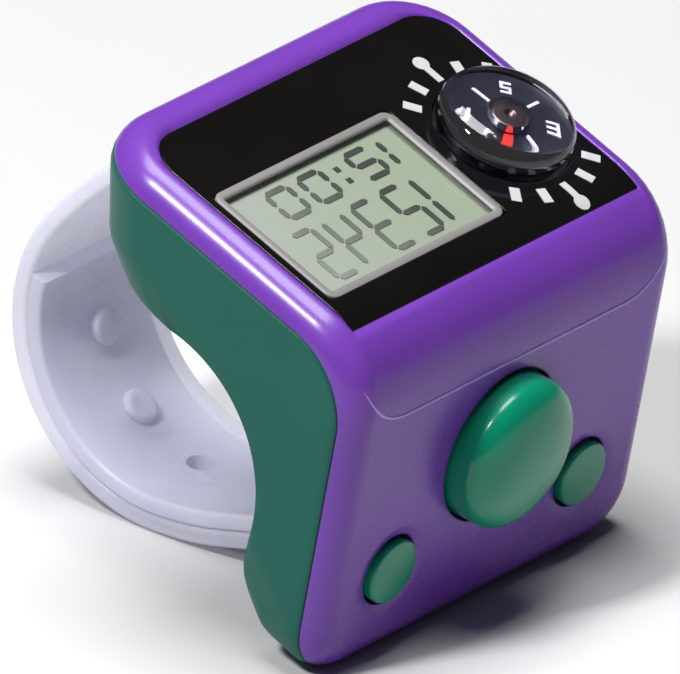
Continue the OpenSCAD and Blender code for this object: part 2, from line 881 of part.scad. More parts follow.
// Flat cable from the underside of the circuit board to the back of the key board
module key_ribbon() {
    c = cos(front_tilt);
    s = sin(front_tilt);
    depth = key_front + key_t;
    top_y = -front_reach - key_top_s * s + depth * c;
    top_z = -key_top_s * c - depth * s;
    lap_y = top_y - ribbon_lap_len * s;
    lap_z = top_z - ribbon_lap_len * c;
    in_y = board_front + ribbon_in;
    color([0.75, 0.5, 0.2]) resting() side_plane() linear_extrude(ribbon_w, center = true)
        polygon([[lap_y, lap_z], [top_y, top_z], [board_front, -board_bottom - ribbon_drop],
            [board_front + ribbon_t, -board_bottom], [in_y, -board_bottom],
            [in_y, -board_bottom - ribbon_t], [board_front + 2 * ribbon_t, -board_bottom - ribbon_t],
            [board_front + ribbon_t, -board_bottom - ribbon_drop],
            [top_y + ribbon_t * c, top_z - ribbon_t * s], [lap_y + ribbon_t * c, lap_z - ribbon_t * s]]);
}

// Compass

module compass_cup() {
    color([0.03, 0.03, 0.05]) resting() at_compass() difference() {
        union() {
            translate([0, 0, -cup_bottom]) cylinder(r = dome_r, h = cup_bottom - cup_top);
            translate([0, 0, -wall - cup_flange_t]) cylinder(r = dome_r + cup_flange_lip, h = cup_flange_t);
        }
        translate([0, 0, -cup_bottom + cup_t]) cylinder(r = dome_r - cup_t, h = cup_bottom);
    }
}

module dome_plan(r, h, round_r) {
    square([r - round_r, h]);
    square([r, h - round_r]);
    translate([r - round_r, h - round_r]) intersection() {
        circle(round_r);
        square(round_r);
    }
}

module compass_dome() {
    color([0.85, 0.87, 0.95, 0.3]) resting() at_compass() translate([0, 0, -cup_top]) difference() {
        rotate_extrude() dome_plan(dome_r, dome_h + cup_top, dome_shoulder);
        translate([0, 0, -over]) rotate_extrude()
            dome_plan(dome_r - dome_t, dome_h + cup_top - dome_t + over, dome_shoulder - dome_t);
    }
}

module compass_card() {
    color([0.04, 0.04, 0.08]) resting() at_compass() difference() {
        union() {
            translate([0, 0, card_top - card_t]) cylinder(r = card_r, h = card_t);
            translate([0, 0, card_top - card_t - hub_skirt]) cylinder(r = hub_skirt_r, h = hub_skirt);
        }
        translate([0, 0, -over]) cylinder(r = pin_r + pin_fit, h = reach);
    }
}

module bar(x, y, w, h) {
    translate([x - w / 2, y - h / 2]) square([w, h]);
}

module letter_e() {
    bar(-letter_w / 2, 0, letter_stroke, letter_h);
    for (y = [-1, 0, 1])
        bar(-letter_stroke / 4, y * (letter_h - letter_stroke) / 2, letter_w, letter_stroke);
}

module letter_s() {
    for (y = [-1, 0, 1]) bar(0, y * (letter_h - letter_stroke) / 2, letter_w, letter_stroke);
    bar(-(letter_w - letter_stroke) / 2, (letter_h - letter_stroke) / 4, letter_stroke, letter_h / 2);
    bar((letter_w - letter_stroke) / 2, -(letter_h - letter_stroke) / 4, letter_stroke, letter_h / 2);
}

module letter_w_shape() {
    rotate(-90) letter_e();
}

module compass_card_marks() {
    color([0.92, 0.92, 0.95]) resting() at_compass() translate([0, 0, card_top]) linear_extrude(ink_t) {
        for (i = [0:3]) rotate(north_turn + 45 + 90 * i)
            translate([card_line_in, -card_line_w / 2]) square([card_line_len, card_line_w]);
        rotate(north_turn - 90) translate([letter_in + letter_h / 2, 0]) rotate(-90) letter_e();
        rotate(north_turn + 180) translate([letter_in + letter_h / 2, 0]) rotate(-90) letter_s();
        rotate(north_turn + 90) translate([letter_in + letter_h / 2, 0]) rotate(-90) letter_w_shape();
    }
}

module north_arrow() {
    neck = arrow_in + (arrow_out - arrow_in) * arrow_neck_share;
    tail = arrow_w * arrow_tail_share / 2;
    color([0.85, 0.1, 0.1]) resting() at_compass() translate([0, 0, card_top]) linear_extrude(ink_t)
        rotate(north_turn) polygon([[arrow_in, -tail], [neck, -tail], [neck, -arrow_w / 2], [arrow_out, 0],
            [neck, arrow_w / 2], [neck, tail], [arrow_in, tail]]);
}

module compass_magnet() {
    color([0.45, 0.45, 0.48]) resting() at_compass() translate([0, 0, card_top - card_t - magnet_t])
    difference() {
        cylinder(r = magnet_r, h = magnet_t);
        translate([0, 0, -over]) cylinder(r = magnet_bore_r, h = reach);
    }
}

module compass_pivot_pin() {
    color([0.75, 0.75, 0.78]) resting() at_compass() {
        translate([0, 0, -cup_bottom + cup_t]) cylinder(r = pin_root_r, h = pin_root_h);
        translate([0, 0, -cup_bottom + cup_t]) cylinder(r = pin_r, h = cup_bottom - cup_t + pin_top);
    }
}

module compass_hub_cap() {
    color([0.45, 0.4, 0.38]) resting() at_compass() translate([0, 0, card_top]) difference() {
        rotate_extrude() dome_plan(hub_r, hub_h, hub_round);
        translate([0, 0, -over]) cylinder(r = pin_r + pin_fit, h = pin_top - card_top + pin_fit + over);
    }
}

module compass_scale_marks() {
    color([0.85, 0.85, 0.85]) resting() intersection() {
        at_compass() translate([0, 0, -panel_t]) linear_extrude(2 * panel_t) for (flip = [0, 180]) {
            for (a = [-2, -1, 1, 2]) rotate(flip + 90 + a * scale_step)
                translate([scale_r, -scale_bar_w / 2]) square([scale_len, scale_bar_w]);
            rotate(flip + 90) {
                translate([scale_r, -scale_stem_w / 2]) square([scale_len + scale_knob_r, scale_stem_w]);
                translate([scale_r + scale_len + scale_knob_r, 0]) circle(scale_knob_r);
            }
        }
        difference() {
            below_top(ink_t);
            below_top();
        }
    }
}

// Ring band

function turned_round(list) = [for (i = [len(list) - 1:-1:0]) list[i]];
function arc_run(c, r, from, to, n, first) = [for (i = [first:n]) on_arc(c, r, from + (to - from) * i / n)];
function rear_line(depth) = concat(
    arc_run(upper_c, upper_bend_r - depth, upper_from, bend_from, upper_steps, 0),
    arc_run(bend_c, bend_r - depth, bend_from, bend_to, bend_steps, 1),
    arc_run(lower_c, lower_bend_r - depth, bend_to, tail_turn, lower_steps, 1),
    [on_arc(lower_c, lower_bend_r - depth, tail_turn) + rear_end_len * tail_way()]);
function front_line(depth) = concat(
    arc_run(bend_c, bend_r - depth, front_tip, bend_to, bend_steps, 0),
    arc_run(lower_c, lower_bend_r - depth, bend_to, tail_turn, lower_steps, 1),
    [on_arc(lower_c, lower_bend_r - depth, tail_turn) + norm(front_bulb() - front_root()) * tail_way()]);
function front_bulb() = [front_bulb_y, -front_bulb_z];
function front_lower_r() = lower_bend_r - 1.5 * strap_t - strap_gap;
function front_root() = on_arc(lower_c, front_lower_r(), tail_turn);
function tail_way() = (front_bulb() - front_root()) / norm(front_bulb() - front_root());

// A strap's side view: a line on its outer side, back along its inner side
module strap_run(outer, inner) {
    side_plane() translate([0, 0, -band_w / 2])
        linear_extrude(band_w) polygon(concat(outer, turned_round(inner)));
}

// Straight end of a strap from its bulb to the start of its bend, grown by a gap
module strap_tail(bulb, root, grow = 0) {
    dy = root[0] - bulb[0];
    dz = root[1] - bulb[1];
    side_plane() translate([bulb[0], bulb[1], -band_w / 2 - grow]) rotate(atan2(dz, dy))
        translate([0, -strap_t / 2 - grow, 0])
        cube([sqrt(dy * dy + dz * dz) + 2 * grow, strap_t + 2 * grow, band_w + 2 * grow]);
}

module strap_bulb(bulb, r) {
    side_plane() translate([bulb[0], bulb[1], -band_w / 2]) cylinder(r = r, h = band_w);
}

module at_hole(i, r) {
    side_plane() translate([bend_y, -bend_z, 0]) rotate(first_hole - i * hole_step) translate([r, 0, 0])
        rotate([0, 90, 0]) children();
}

module rear_strap() {
    color([0.8, 0.8, 0.93, 0.6]) resting() {
        strap_bulb(on_arc(upper_c, upper_bend_r - strap_t / 2, upper_from), rear_bulb_r);
        strap_run(rear_line(0), rear_line(strap_t));
        for (i = PEGS) {
            at_hole(i, front_in - strap_t - fit)
                cylinder(r = strap_hole_d / 2 - peg_fit, h = 1.5 * strap_t);
            at_hole(i, front_in - strap_t - fit - peg_head_t)
                cylinder(r = strap_hole_d / 2 + peg_head_over, h = peg_head_t);
        }
    }
}

module front_strap() {
    color([0.82, 0.82, 0.95, 0.6]) resting() difference() {
        union() {
            strap_bulb(front_bulb(), front_bulb_r);
            strap_run(front_line(strap_t + strap_gap), front_line(2 * strap_t + strap_gap));
        }
        for (i = HOLES) at_hole(i, front_in - 2 * strap_t) cylinder(d = strap_hole_d, h = 2.5 * strap_t);
    }
}

upper_shell();
lower_shell();
window_panel();
lcd_bezel();
lcd_front_glass();
lcd_segments();
lcd_back_glass();
lcd_reflector();
zebra_strips();
circuit_board();
controller_blob();
timing_crystal();
board_screws();
battery_cell();
battery_top_contact();
battery_door_contact();
battery_door();
battery_door_screw();
case_screws();
count_button();
reset_button();
mode_button();
button_membrane();
key_board();
key_board_screws();
key_ribbon();
compass_cup();
compass_dome();
compass_card();
compass_card_marks();
north_arrow();
compass_magnet();
compass_pivot_pin();
compass_hub_cap();
compass_scale_marks();
rear_strap();
front_strap();
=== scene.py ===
"""Finger-worn digital tasbih counter: finishes, finer pieces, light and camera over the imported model.

Lengths of the pieces are in millimetres in the case's own frame, as in the part's source:
x runs along the finger, y to the back and z up, square to the display panel.
"""
from __future__ import annotations

import logging
import math
from dataclasses import dataclass
from enum import Enum
from typing import Any, Sequence

import bmesh
import bpy
import numpy as np
from mathutils import Matrix, Vector
from mathutils.bvhtree import BVHTree


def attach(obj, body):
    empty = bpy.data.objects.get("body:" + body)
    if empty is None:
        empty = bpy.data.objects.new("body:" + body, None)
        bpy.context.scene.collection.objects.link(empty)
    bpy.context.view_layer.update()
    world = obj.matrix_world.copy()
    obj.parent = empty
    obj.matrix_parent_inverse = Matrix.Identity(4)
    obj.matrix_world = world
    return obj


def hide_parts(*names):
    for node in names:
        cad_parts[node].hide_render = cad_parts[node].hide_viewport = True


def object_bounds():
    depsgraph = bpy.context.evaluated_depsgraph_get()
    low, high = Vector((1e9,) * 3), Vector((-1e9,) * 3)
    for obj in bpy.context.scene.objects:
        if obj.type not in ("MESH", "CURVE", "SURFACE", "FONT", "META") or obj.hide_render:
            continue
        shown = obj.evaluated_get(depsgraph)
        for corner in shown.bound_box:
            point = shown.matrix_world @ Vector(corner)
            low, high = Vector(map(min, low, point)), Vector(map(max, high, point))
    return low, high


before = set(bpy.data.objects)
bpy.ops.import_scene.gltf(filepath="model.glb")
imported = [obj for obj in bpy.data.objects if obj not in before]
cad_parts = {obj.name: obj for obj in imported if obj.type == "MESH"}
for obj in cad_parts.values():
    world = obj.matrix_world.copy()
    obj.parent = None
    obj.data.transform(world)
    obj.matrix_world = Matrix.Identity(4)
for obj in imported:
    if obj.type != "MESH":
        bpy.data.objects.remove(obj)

CAD_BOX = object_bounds()
log = logging.getLogger("counter")
Array = np.ndarray

REST_TILT = 21.02948593924687
FRONT_TILT = 12.6
FRONT_REACH = 3.35
FINGER = (0.0, 10.8, -20.4)
TURN = 2 * math.pi
X_AXIS = np.array([1.0, 0.0, 0.0])
NEAR_AXIS = 0.001
MERGE_WITHIN = 2e-6
WHITE = (1.0, 1.0, 1.0)


class Body(str, Enum):
    """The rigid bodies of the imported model."""

    CASE = "case"
    COUNT = "count_cap"
    RESET = "reset_cap"
    MODE = "mode_cap"
    NEEDLE = "compass_needle"


def turn_x(degrees: float) -> Array:
    """The matrix of a turn about x.

    Args:
        degrees: the angle, by the right-hand rule.

    Returns:
        A 3 by 3 matrix.
    """
    a = math.radians(degrees)
    return np.array([[1, 0, 0], [0, math.cos(a), -math.sin(a)], [0, math.sin(a), math.cos(a)]])


@dataclass(frozen=True)
class Place:
    """A frame on the case: a point and three axes, in case millimetres."""

    origin: tuple[float, float, float] = (0.0, 0.0, 0.0)
    tilt: float = 0.0

    def to_case(self, points: Array) -> Array:
        """Takes points of this frame to the case's frame: turned about x, then moved.

        Args:
            points: an array whose last axis is x, y, z.

        Returns:
            The same array in the case's frame.
        """
        return points @ turn_x(self.tilt).T + np.array(self.origin)

    def to_row(self, points: Array) -> Array:
        """Takes points of this frame to the model's frame, in metres.

        Args:
            points: an array whose last axis is x, y, z, in millimetres.

        Returns:
            The same array, less the finger's axis, tipped forward to the table, in metres.
        """
        return (self.to_case(points) - np.array(FINGER)) @ turn_x(REST_TILT).T / 1000


FLAT = Place()


def on_front(x: float, s: float) -> Place:
    """A frame on the front face: x across, y up the face, z out of it.

    Args:
        x: how far right of the middle.
        s: how far down the face from the top corner.

    Returns:
        The frame, whose origin is the top corner moved down along the leaning face.
    """
    a = math.radians(FRONT_TILT)
    return Place((x, -FRONT_REACH - s * math.sin(a), -s * math.cos(a)), 90 - FRONT_TILT)


# Shader maths


class Wire:
    """A number socket of a node tree; sums and products on it add Math nodes."""

    def __init__(self, tree: bpy.types.NodeTree, socket: bpy.types.NodeSocket) -> None:
        """Keeps the tree and the output socket."""
        self.tree = tree
        self.socket = socket

    def math(self, operation: str, *others: "Wire | float", swap: bool = False) -> "Wire":
        """Adds one Math node.

        Args:
            operation: the node's operation.
            others: its further operands.
            swap: True puts this wire second.

        Returns:
            The result as a wire.
        """
        node = self.tree.nodes.new("ShaderNodeMath")
        node.operation = operation
        operands = [self, *others]
        if swap:
            operands.reverse()
        for slot, value in zip(node.inputs, operands):
            if isinstance(value, Wire):
                self.tree.links.new(value.socket, slot)
            else:
                slot.default_value = value
        return Wire(self.tree, node.outputs[0])

    def __add__(self, other: "Wire | float") -> "Wire":
        """Sum."""
        return self.math("ADD", other)

    def __sub__(self, other: "Wire | float") -> "Wire":
        """Difference."""
        return self.math("SUBTRACT", other)

    def __rsub__(self, other: float) -> "Wire":
        """Difference from a number."""
        return self.math("SUBTRACT", other, swap=True)

    def __mul__(self, other: "Wire | float") -> "Wire":
        """Product."""
        return self.math("MULTIPLY", other)

    def __pow__(self, other: float) -> "Wire":
        """Power."""
        return self.math("POWER", other)

    def clamp(self) -> "Wire":
        """Held between 0 and 1."""
        return self.math("MINIMUM", 1.0).math("MAXIMUM", 0.0)


class Recipe:
    """The node tree of one material, or of the world, under construction."""

    def __init__(self, name: str, world: bool = False) -> None:
        """Starts an empty material or world with an output node."""
        kind, blocks = ("World", bpy.data.worlds) if world else ("Material", bpy.data.materials)
        self.block = blocks.new(f"counter_{name}")
        self.block.use_nodes = True
        self.tree = self.block.node_tree
        self.tree.nodes.clear()
        self.output = self.tree.nodes.new(f"ShaderNodeOutput{kind}")

    def node(self, kind: str, settings: dict[str, Any], sockets: dict[Any, Any]) -> bpy.types.Node:
        """Adds a node: first its settings, then its sockets' values or links.

        Args:
            kind: the node's type.
            settings: attributes, with "stops" for a ramp's [(place, colour)].
            sockets: socket name or number to a value, a Wire or an output socket.

        Returns:
            The node.
        """
        node = self.tree.nodes.new(kind)
        for key, value in settings.items():
            if key == "stops":
                elements = node.color_ramp.elements
                while len(elements) < len(value):
                    elements.new(0.5)
                for element, (place, colour) in zip(elements, value):
                    element.position = place
                    element.color = (*colour, 1.0)
            else:
                setattr(node, key, value)
        for key, value in sockets.items():
            slot = node.inputs[key]
            if isinstance(value, Wire):
                self.tree.links.new(value.socket, slot)
            elif isinstance(value, bpy.types.NodeSocket):
                self.tree.links.new(value, slot)
            else:
                slot.default_value = value
        return node

    def wire(self, node: bpy.types.Node, output: int | str = 0) -> Wire:
        """A node's output as a wire."""
        return Wire(self.tree, node.outputs[output])

    def place(self) -> bpy.types.NodeSocket:
        """Object coordinates, in metres."""
        return self.node("ShaderNodeTexCoord", {}, {}).outputs["Object"]

    def noise(self, scale: float, detail: float = 2.0, rough: float = 0.5, at: Any = None) -> Wire:
        """Noise between 0 and 1 in object coordinates.

        Args:
            scale: features per metre.
            detail: octaves.
            rough: how strong the finer octaves are.
            at: another vector to read, or None.

        Returns:
            The noise's value.
        """
        sockets = {"Vector": at or self.place(), "Scale": scale, "Detail": detail, "Roughness": rough}
        return self.wire(self.node("ShaderNodeTexNoise", {}, sockets), "Fac")

    def blend(self, share: Wire | float, first: Any, second: Any) -> bpy.types.NodeSocket:
        """Mixes two colours.

        Args:
            share: 0 for the first colour, 1 for the second.
            first: a colour or socket.
            second: a colour or socket.

        Returns:
            The colour socket.
        """
        return self.node("ShaderNodeMix", {"data_type": "RGBA"}, {0: share, 6: first, 7: second}).outputs[2]

    def tones(self, share: Wire, colour: Sequence[float], low: float, high: float) -> bpy.types.NodeSocket:
        """Mixes two shades of one colour.

        Args:
            share: 0 for the first shade, 1 for the second.
            colour: the colour.
            low: the first shade's factor.
            high: the second shade's factor.

        Returns:
            The colour socket.
        """
        return self.blend(share, rgba(shade(colour, low)), rgba(shade(colour, high)))

    def mix(self, share: Wire, first: bpy.types.Node, second: bpy.types.Node) -> bpy.types.Node:
        """Mixes two shaders.

        Args:
            share: 0 for the first shader, 1 for the second.
            first: a shader node.
            second: a shader node.

        Returns:
            The mix node.
        """
        return self.node("ShaderNodeMixShader", {}, {0: share, 1: first.outputs[0], 2: second.outputs[0]})

    def show(self, shader: bpy.types.Node) -> Any:
        """Plugs a shader into the output.

        Args:
            shader: the shader node.

        Returns:
            The material, or the world.
        """
        self.tree.links.new(shader.outputs[0], self.output.inputs["Surface"])
        return self.block

    def bump(self, height: Wire, strength: float, distance: float,
             normal: Any = None) -> bpy.types.NodeSocket:
        """A bumped normal.

        Args:
            height: the height map.
            strength: share of the effect.
            distance: height of 1, in metres.
            normal: the normal that it starts from, or None.

        Returns:
            The normal socket.
        """
        sockets: dict[Any, Any] = {"Height": height, "Strength": strength, "Distance": distance}
        if normal is not None:
            sockets["Normal"] = normal
        return self.node("ShaderNodeBump", {}, sockets).outputs["Normal"]

    def round_edges(self, radius: float) -> bpy.types.NodeSocket:
        """A normal that rounds sharp edges by a radius in metres."""
        return self.node("ShaderNodeBevel", {"samples": 6}, {"Radius": radius}).outputs["Normal"]

    def edge_mask(self, soft: bpy.types.NodeSocket) -> Wire:
        """1 where a rounded normal leaves the true one, 0 elsewhere.

        Args:
            soft: the rounded normal.

        Returns:
            The mask, from one less the product of both normals.
        """
        true = self.node("ShaderNodeNewGeometry", {}, {}).outputs["Normal"]
        dot = self.node("ShaderNodeVectorMath", {"operation": "DOT_PRODUCT"}, {0: soft, 1: true})
        return ((1.0 - self.wire(dot, "Value")) * 3.0).clamp()

    def surface(self, sockets: dict[Any, Any]) -> bpy.types.Material:
        """Adds the main shader, plugged into the output.

        Args:
            sockets: the shader's values and links.

        Returns:
            The material.
        """
        return self.show(self.node("ShaderNodeBsdfPrincipled", {}, sockets))


def rgba(colour: Sequence[float]) -> tuple[float, float, float, float]:
    """A linear colour with full alpha."""
    return (colour[0], colour[1], colour[2], 1.0)


def shade(colour: Sequence[float], factor: float) -> tuple[float, float, float]:
    """A colour made lighter or darker."""
    return (min(1.0, colour[0] * factor), min(1.0, colour[1] * factor), min(1.0, colour[2] * factor))


@dataclass(frozen=True)
class MouldedPlastic:
    """Injection-moulded plastic: fine grain, faint flow marks, handling scuffs, and paler edges that are
    partly wear and partly a painted highlight where they round off.
    """

    name: str
    colour: tuple[float, float, float]
    rough: float = 0.28
    grain: float = 0.06
    edge: float = 0.00022
    # Share of paler edges: partly wear, partly a painted highlight on the rounding.
    edge_wear_and_highlight: float = 0.22
    coat: float = 0.25
    gloss: float = 0.5

    def build(self) -> bpy.types.Material:
        """Mixes the finish.

        Returns:
            The material.
        """
        r = Recipe(self.name)
        soft = r.round_edges(self.edge)
        flow = r.noise(70, 3, 0.55)
        fine = r.noise(5200, 2, 0.6)
        scuff = ((r.noise(420, 6, 0.7) - 0.56) * 6.0).clamp()
        tone = r.tones(flow, self.colour, 0.86, 1.12)
        tone = r.blend(scuff * 0.04, tone, rgba(shade(self.colour, 1.4)))
        # Paler edges: partly wear, partly a painted highlight where the edges round off.
        tone = r.blend(r.edge_mask(soft) * self.edge_wear_and_highlight, tone, rgba(shade(self.colour, 1.9)))
        rough = flow * 0.06 + fine * 0.05 + scuff * 0.05 + (self.rough - 0.05)
        normal = r.bump(fine * 0.6 + flow * 4.0, self.grain, 0.00006, soft)
        return r.surface({"Base Color": tone, "Roughness": rough, "Normal": normal, "Coat Weight": self.coat,
                          "Coat Roughness": 0.1, "IOR": 1.5, "Specular IOR Level": self.gloss})


@dataclass(frozen=True)
class GlossFilm:
    """Back-printed clear film: very smooth, with a slight ripple and hairlines."""

    name: str
    colour: tuple[float, float, float] = (0.0030, 0.0027, 0.0026)

    def build(self) -> bpy.types.Material:
        """Mixes the finish.

        Returns:
            The material.
        """
        r = Recipe(self.name)
        ripple = r.noise(130, 2, 0.4)
        stretched = r.node("ShaderNodeMapping", {}, {"Vector": r.place(), "Scale": (6.0, 90.0, 1.0),
                                                     "Rotation": (0.0, 0.0, 0.5)}).outputs[0]
        hair = ((r.noise(260, 2, 0.5, stretched) - 0.66) * 9.0).clamp()
        tone = r.blend(ripple, rgba(self.colour), rgba(shade(self.colour, 1.9)))
        normal = r.bump(ripple, 0.05, 0.0001, r.round_edges(0.00012))
        rough = ripple * 0.05 + hair * 0.10 + 0.13
        return r.surface({"Base Color": tone, "Roughness": rough, "Normal": normal,
                          "Coat Weight": 0.1, "Coat Roughness": 0.05, "Specular IOR Level": 0.4})


@dataclass(frozen=True)
class Printed:
    """Screen-printed ink: matt, a little uneven."""

    name: str
    colour: tuple[float, float, float]
    rough: float = 0.5

    def build(self) -> bpy.types.Material:
        """Mixes the finish.

        Returns:
            The material.
        """
        r = Recipe(self.name)
        speck = r.noise(3500, 3, 0.6)
        tone = r.tones(speck, self.colour, 0.88, 1.08)
        return r.surface({"Base Color": tone, "Roughness": speck * 0.12 + (self.rough - 0.06),
                          "Normal": r.bump(speck, 0.08, 0.00002)})


@dataclass(frozen=True)
class DisplayInk:
    """The display's dark figures, which fade where the light rakes in from the front left."""

    name: str
    dark: tuple[float, float, float] = (0.022, 0.028, 0.023)
    faint: tuple[float, float, float] = (0.24, 0.27, 0.23)

    def build(self) -> bpy.types.Material:
        """Mixes the finish: the fade grows to the left and to the front.

        Returns:
            The material.
        """
        r = Recipe(self.name)
        place = r.node("ShaderNodeSeparateXYZ", {}, {0: r.place()})
        fade = (r.wire(place, "X") * -75.0 + r.wire(place, "Y") * -60.0 - 0.72).clamp()
        speck = r.noise(3000, 2, 0.6)
        tone = r.blend((fade * 0.9 + speck * 0.1).clamp(), rgba(self.dark), rgba(self.faint))
        return r.surface({"Base Color": tone, "Roughness": speck * 0.1 + 0.45,
                          "Normal": r.bump(speck, 0.05, 0.00002)})


@dataclass(frozen=True)
class Metal:
    """Plated or brushed metal with fine drawn lines and a little tarnish."""

    name: str
    colour: tuple[float, float, float]
    rough: float = 0.3

    def build(self) -> bpy.types.Material:
        """Mixes the finish.

        Returns:
            The material.
        """
        r = Recipe(self.name)
        drawn = r.node("ShaderNodeMapping", {}, {"Vector": r.place(), "Scale": (1.0, 18.0, 18.0)}).outputs[0]
        lines = r.noise(380, 3, 0.6, drawn)
        stain = r.noise(420, 4, 0.6)
        tone = r.tones(stain, self.colour, 0.75, 1.1)
        rough = lines * 0.16 + stain * 0.1 + (self.rough - 0.13)
        return r.surface({"Base Color": tone, "Metallic": 1.0, "Roughness": rough,
                          "Normal": r.bump(lines, 0.1, 0.00003, r.round_edges(0.0001))})


@dataclass(frozen=True)
class Silicone:
    """Milky translucent silicone with a satin skin, soft mottling and fine grain."""

    name: str
    colour: tuple[float, float, float] = (0.78, 0.78, 0.95)
    alpha: float = 0.50
    sheen: tuple[float, float, float] = (0.50, 0.50, 1.0)

    def build(self) -> bpy.types.Material:
        """Mixes the finish.

        Returns:
            The material.
        """
        r = Recipe(self.name)
        cloud = r.noise(95, 3, 0.5)
        fine = r.noise(3200, 3, 0.6)
        tone = r.tones(cloud, self.colour, 0.9, 1.1)
        opaque = (cloud * 0.06 + self.alpha).clamp()
        return r.surface({"Base Color": tone, "Roughness": cloud * 0.08 + fine * 0.06 + 0.2, "Alpha": opaque,
                          "Subsurface Weight": 0.35, "Subsurface Radius": (1.0, 1.0, 1.2),
                          "Subsurface Scale": 0.0012,
                          "Normal": r.bump(fine * 0.4 + cloud * 3.0, 0.08, 0.00006), "IOR": 1.42,
                          "Sheen Weight": 0.4, "Sheen Tint": rgba(self.sheen)})


@dataclass(frozen=True)
class ClearPlastic:
    """Clear moulded plastic: seen through square on, glossy and darker at a slant."""

    name: str
    tint: tuple[float, float, float] = (0.9, 0.9, 0.97)
    slant: tuple[float, float, float] = (0.05, 0.04, 0.12)
    haze: float = 0.04
    edge: float = 0.5
    shine: float = 0.6

    def build(self) -> bpy.types.Material:
        """Mixes the finish: a clear pane, a mirror skin and a dense rim, both stronger at a slant.

        Returns:
            The material.
        """
        r = Recipe(self.name)
        cloud = r.noise(300, 3, 0.5)
        normal = r.bump(cloud, 0.04, 0.00005)
        clear = r.node("ShaderNodeBsdfTransparent", {}, {"Color": rgba(self.tint)})
        skin = r.node("ShaderNodeBsdfPrincipled", {}, {
            "Base Color": (0.95, 0.95, 1.0, 1.0), "Metallic": 1.0, "Roughness": cloud * 0.05 + 0.03,
            "Normal": normal})
        rim = r.node("ShaderNodeBsdfPrincipled", {}, {
            "Base Color": rgba(self.slant), "Roughness": cloud * 0.06 + 0.12, "Specular IOR Level": 0.0})
        slant = r.wire(r.node("ShaderNodeLayerWeight", {}, {"Blend": 0.5}), "Facing")
        mirror = (slant ** 4.0 * self.shine + 0.04).clamp()
        dense = (slant ** 2.0 * self.edge + cloud * 0.02 + self.haze).clamp()
        return r.show(r.mix(mirror, r.mix(dense, clear, rim), skin))


@dataclass(frozen=True)
class DomePlastic:
    """Clear thick dome: it bends what is seen in it and lets the lamps through."""

    name: str
    tint: tuple[float, float, float] = (0.86, 0.86, 0.94)
    index: float = 1.36

    def build(self) -> bpy.types.Material:
        """Mixes the finish: refracting plastic, and a tinted pane for the lamps' own rays.

        Returns:
            The material.
        """
        r = Recipe(self.name)
        cloud = r.noise(300, 3, 0.5)
        body = r.node("ShaderNodeBsdfPrincipled", {}, {
            "Base Color": rgba(self.tint), "Roughness": cloud * 0.03 + 0.01, "IOR": self.index,
            "Transmission Weight": 1.0, "Coat Weight": 0.3, "Coat Roughness": 0.02,
            "Normal": r.bump(cloud, 0.03, 0.00004)})
        pane = r.node("ShaderNodeBsdfTransparent", {}, {"Color": rgba(self.tint)})
        lamp_ray = r.wire(r.node("ShaderNodeLightPath", {}, {}), "Is Shadow Ray")
        return r.show(r.mix(lamp_ray, body, pane))


@dataclass(frozen=True)
class DisplayGround:
    """The display's ground: pale green-grey, with a painted glare that makes it lighter and greyer to the
    left, and a film's fine sparkle.
    """

    name: str
    left: tuple[float, float, float] = (0.36, 0.385, 0.355)
    right: tuple[float, float, float] = (0.30, 0.35, 0.255)

    def build(self) -> bpy.types.Material:
        """Mixes the finish.

        Returns:
            The material.
        """
        r = Recipe(self.name)
        across = r.wire(r.node("ShaderNodeSeparateXYZ", {}, {0: r.place()}), "X")
        # Painted glare: the ground is lighter and greyer to the left.
        share = (across * 60.0 + 1.0).clamp()
        fine = r.noise(6000, 2, 0.6)
        tone = r.blend(share, rgba(self.left), rgba(self.right))
        tone = r.blend(fine * 0.12, tone, (0.75, 0.8, 0.72, 1.0))
        return r.surface({"Base Color": tone, "Roughness": fine * 0.15 + 0.3,
                          "Normal": r.bump(fine, 0.05, 0.00002)})


@dataclass(frozen=True)
class CircuitBoard:
    """Green board with copper tracks seen through the mask."""

    name: str

    def build(self) -> bpy.types.Material:
        """Mixes the finish: tracks are the dark bands of a bent wave.

        Returns:
            The material.
        """
        r = Recipe(self.name)
        wave = r.node("ShaderNodeTexWave", {"wave_type": "BANDS"}, {"Vector": r.place(), "Scale": 300.0,
                                                                   "Distortion": 4.0, "Detail": 0.0})
        track = ((r.wire(wave, "Fac") - 0.6) * 8.0).clamp()
        tone = r.blend(track, (0.012, 0.11, 0.03, 1.0), (0.05, 0.24, 0.07, 1.0))
        return r.surface({"Base Color": tone, "Roughness": track * 0.08 + 0.3,
                          "Normal": r.bump(track, 0.3, 0.00003)})


MADE: dict[str, bpy.types.Material] = {}


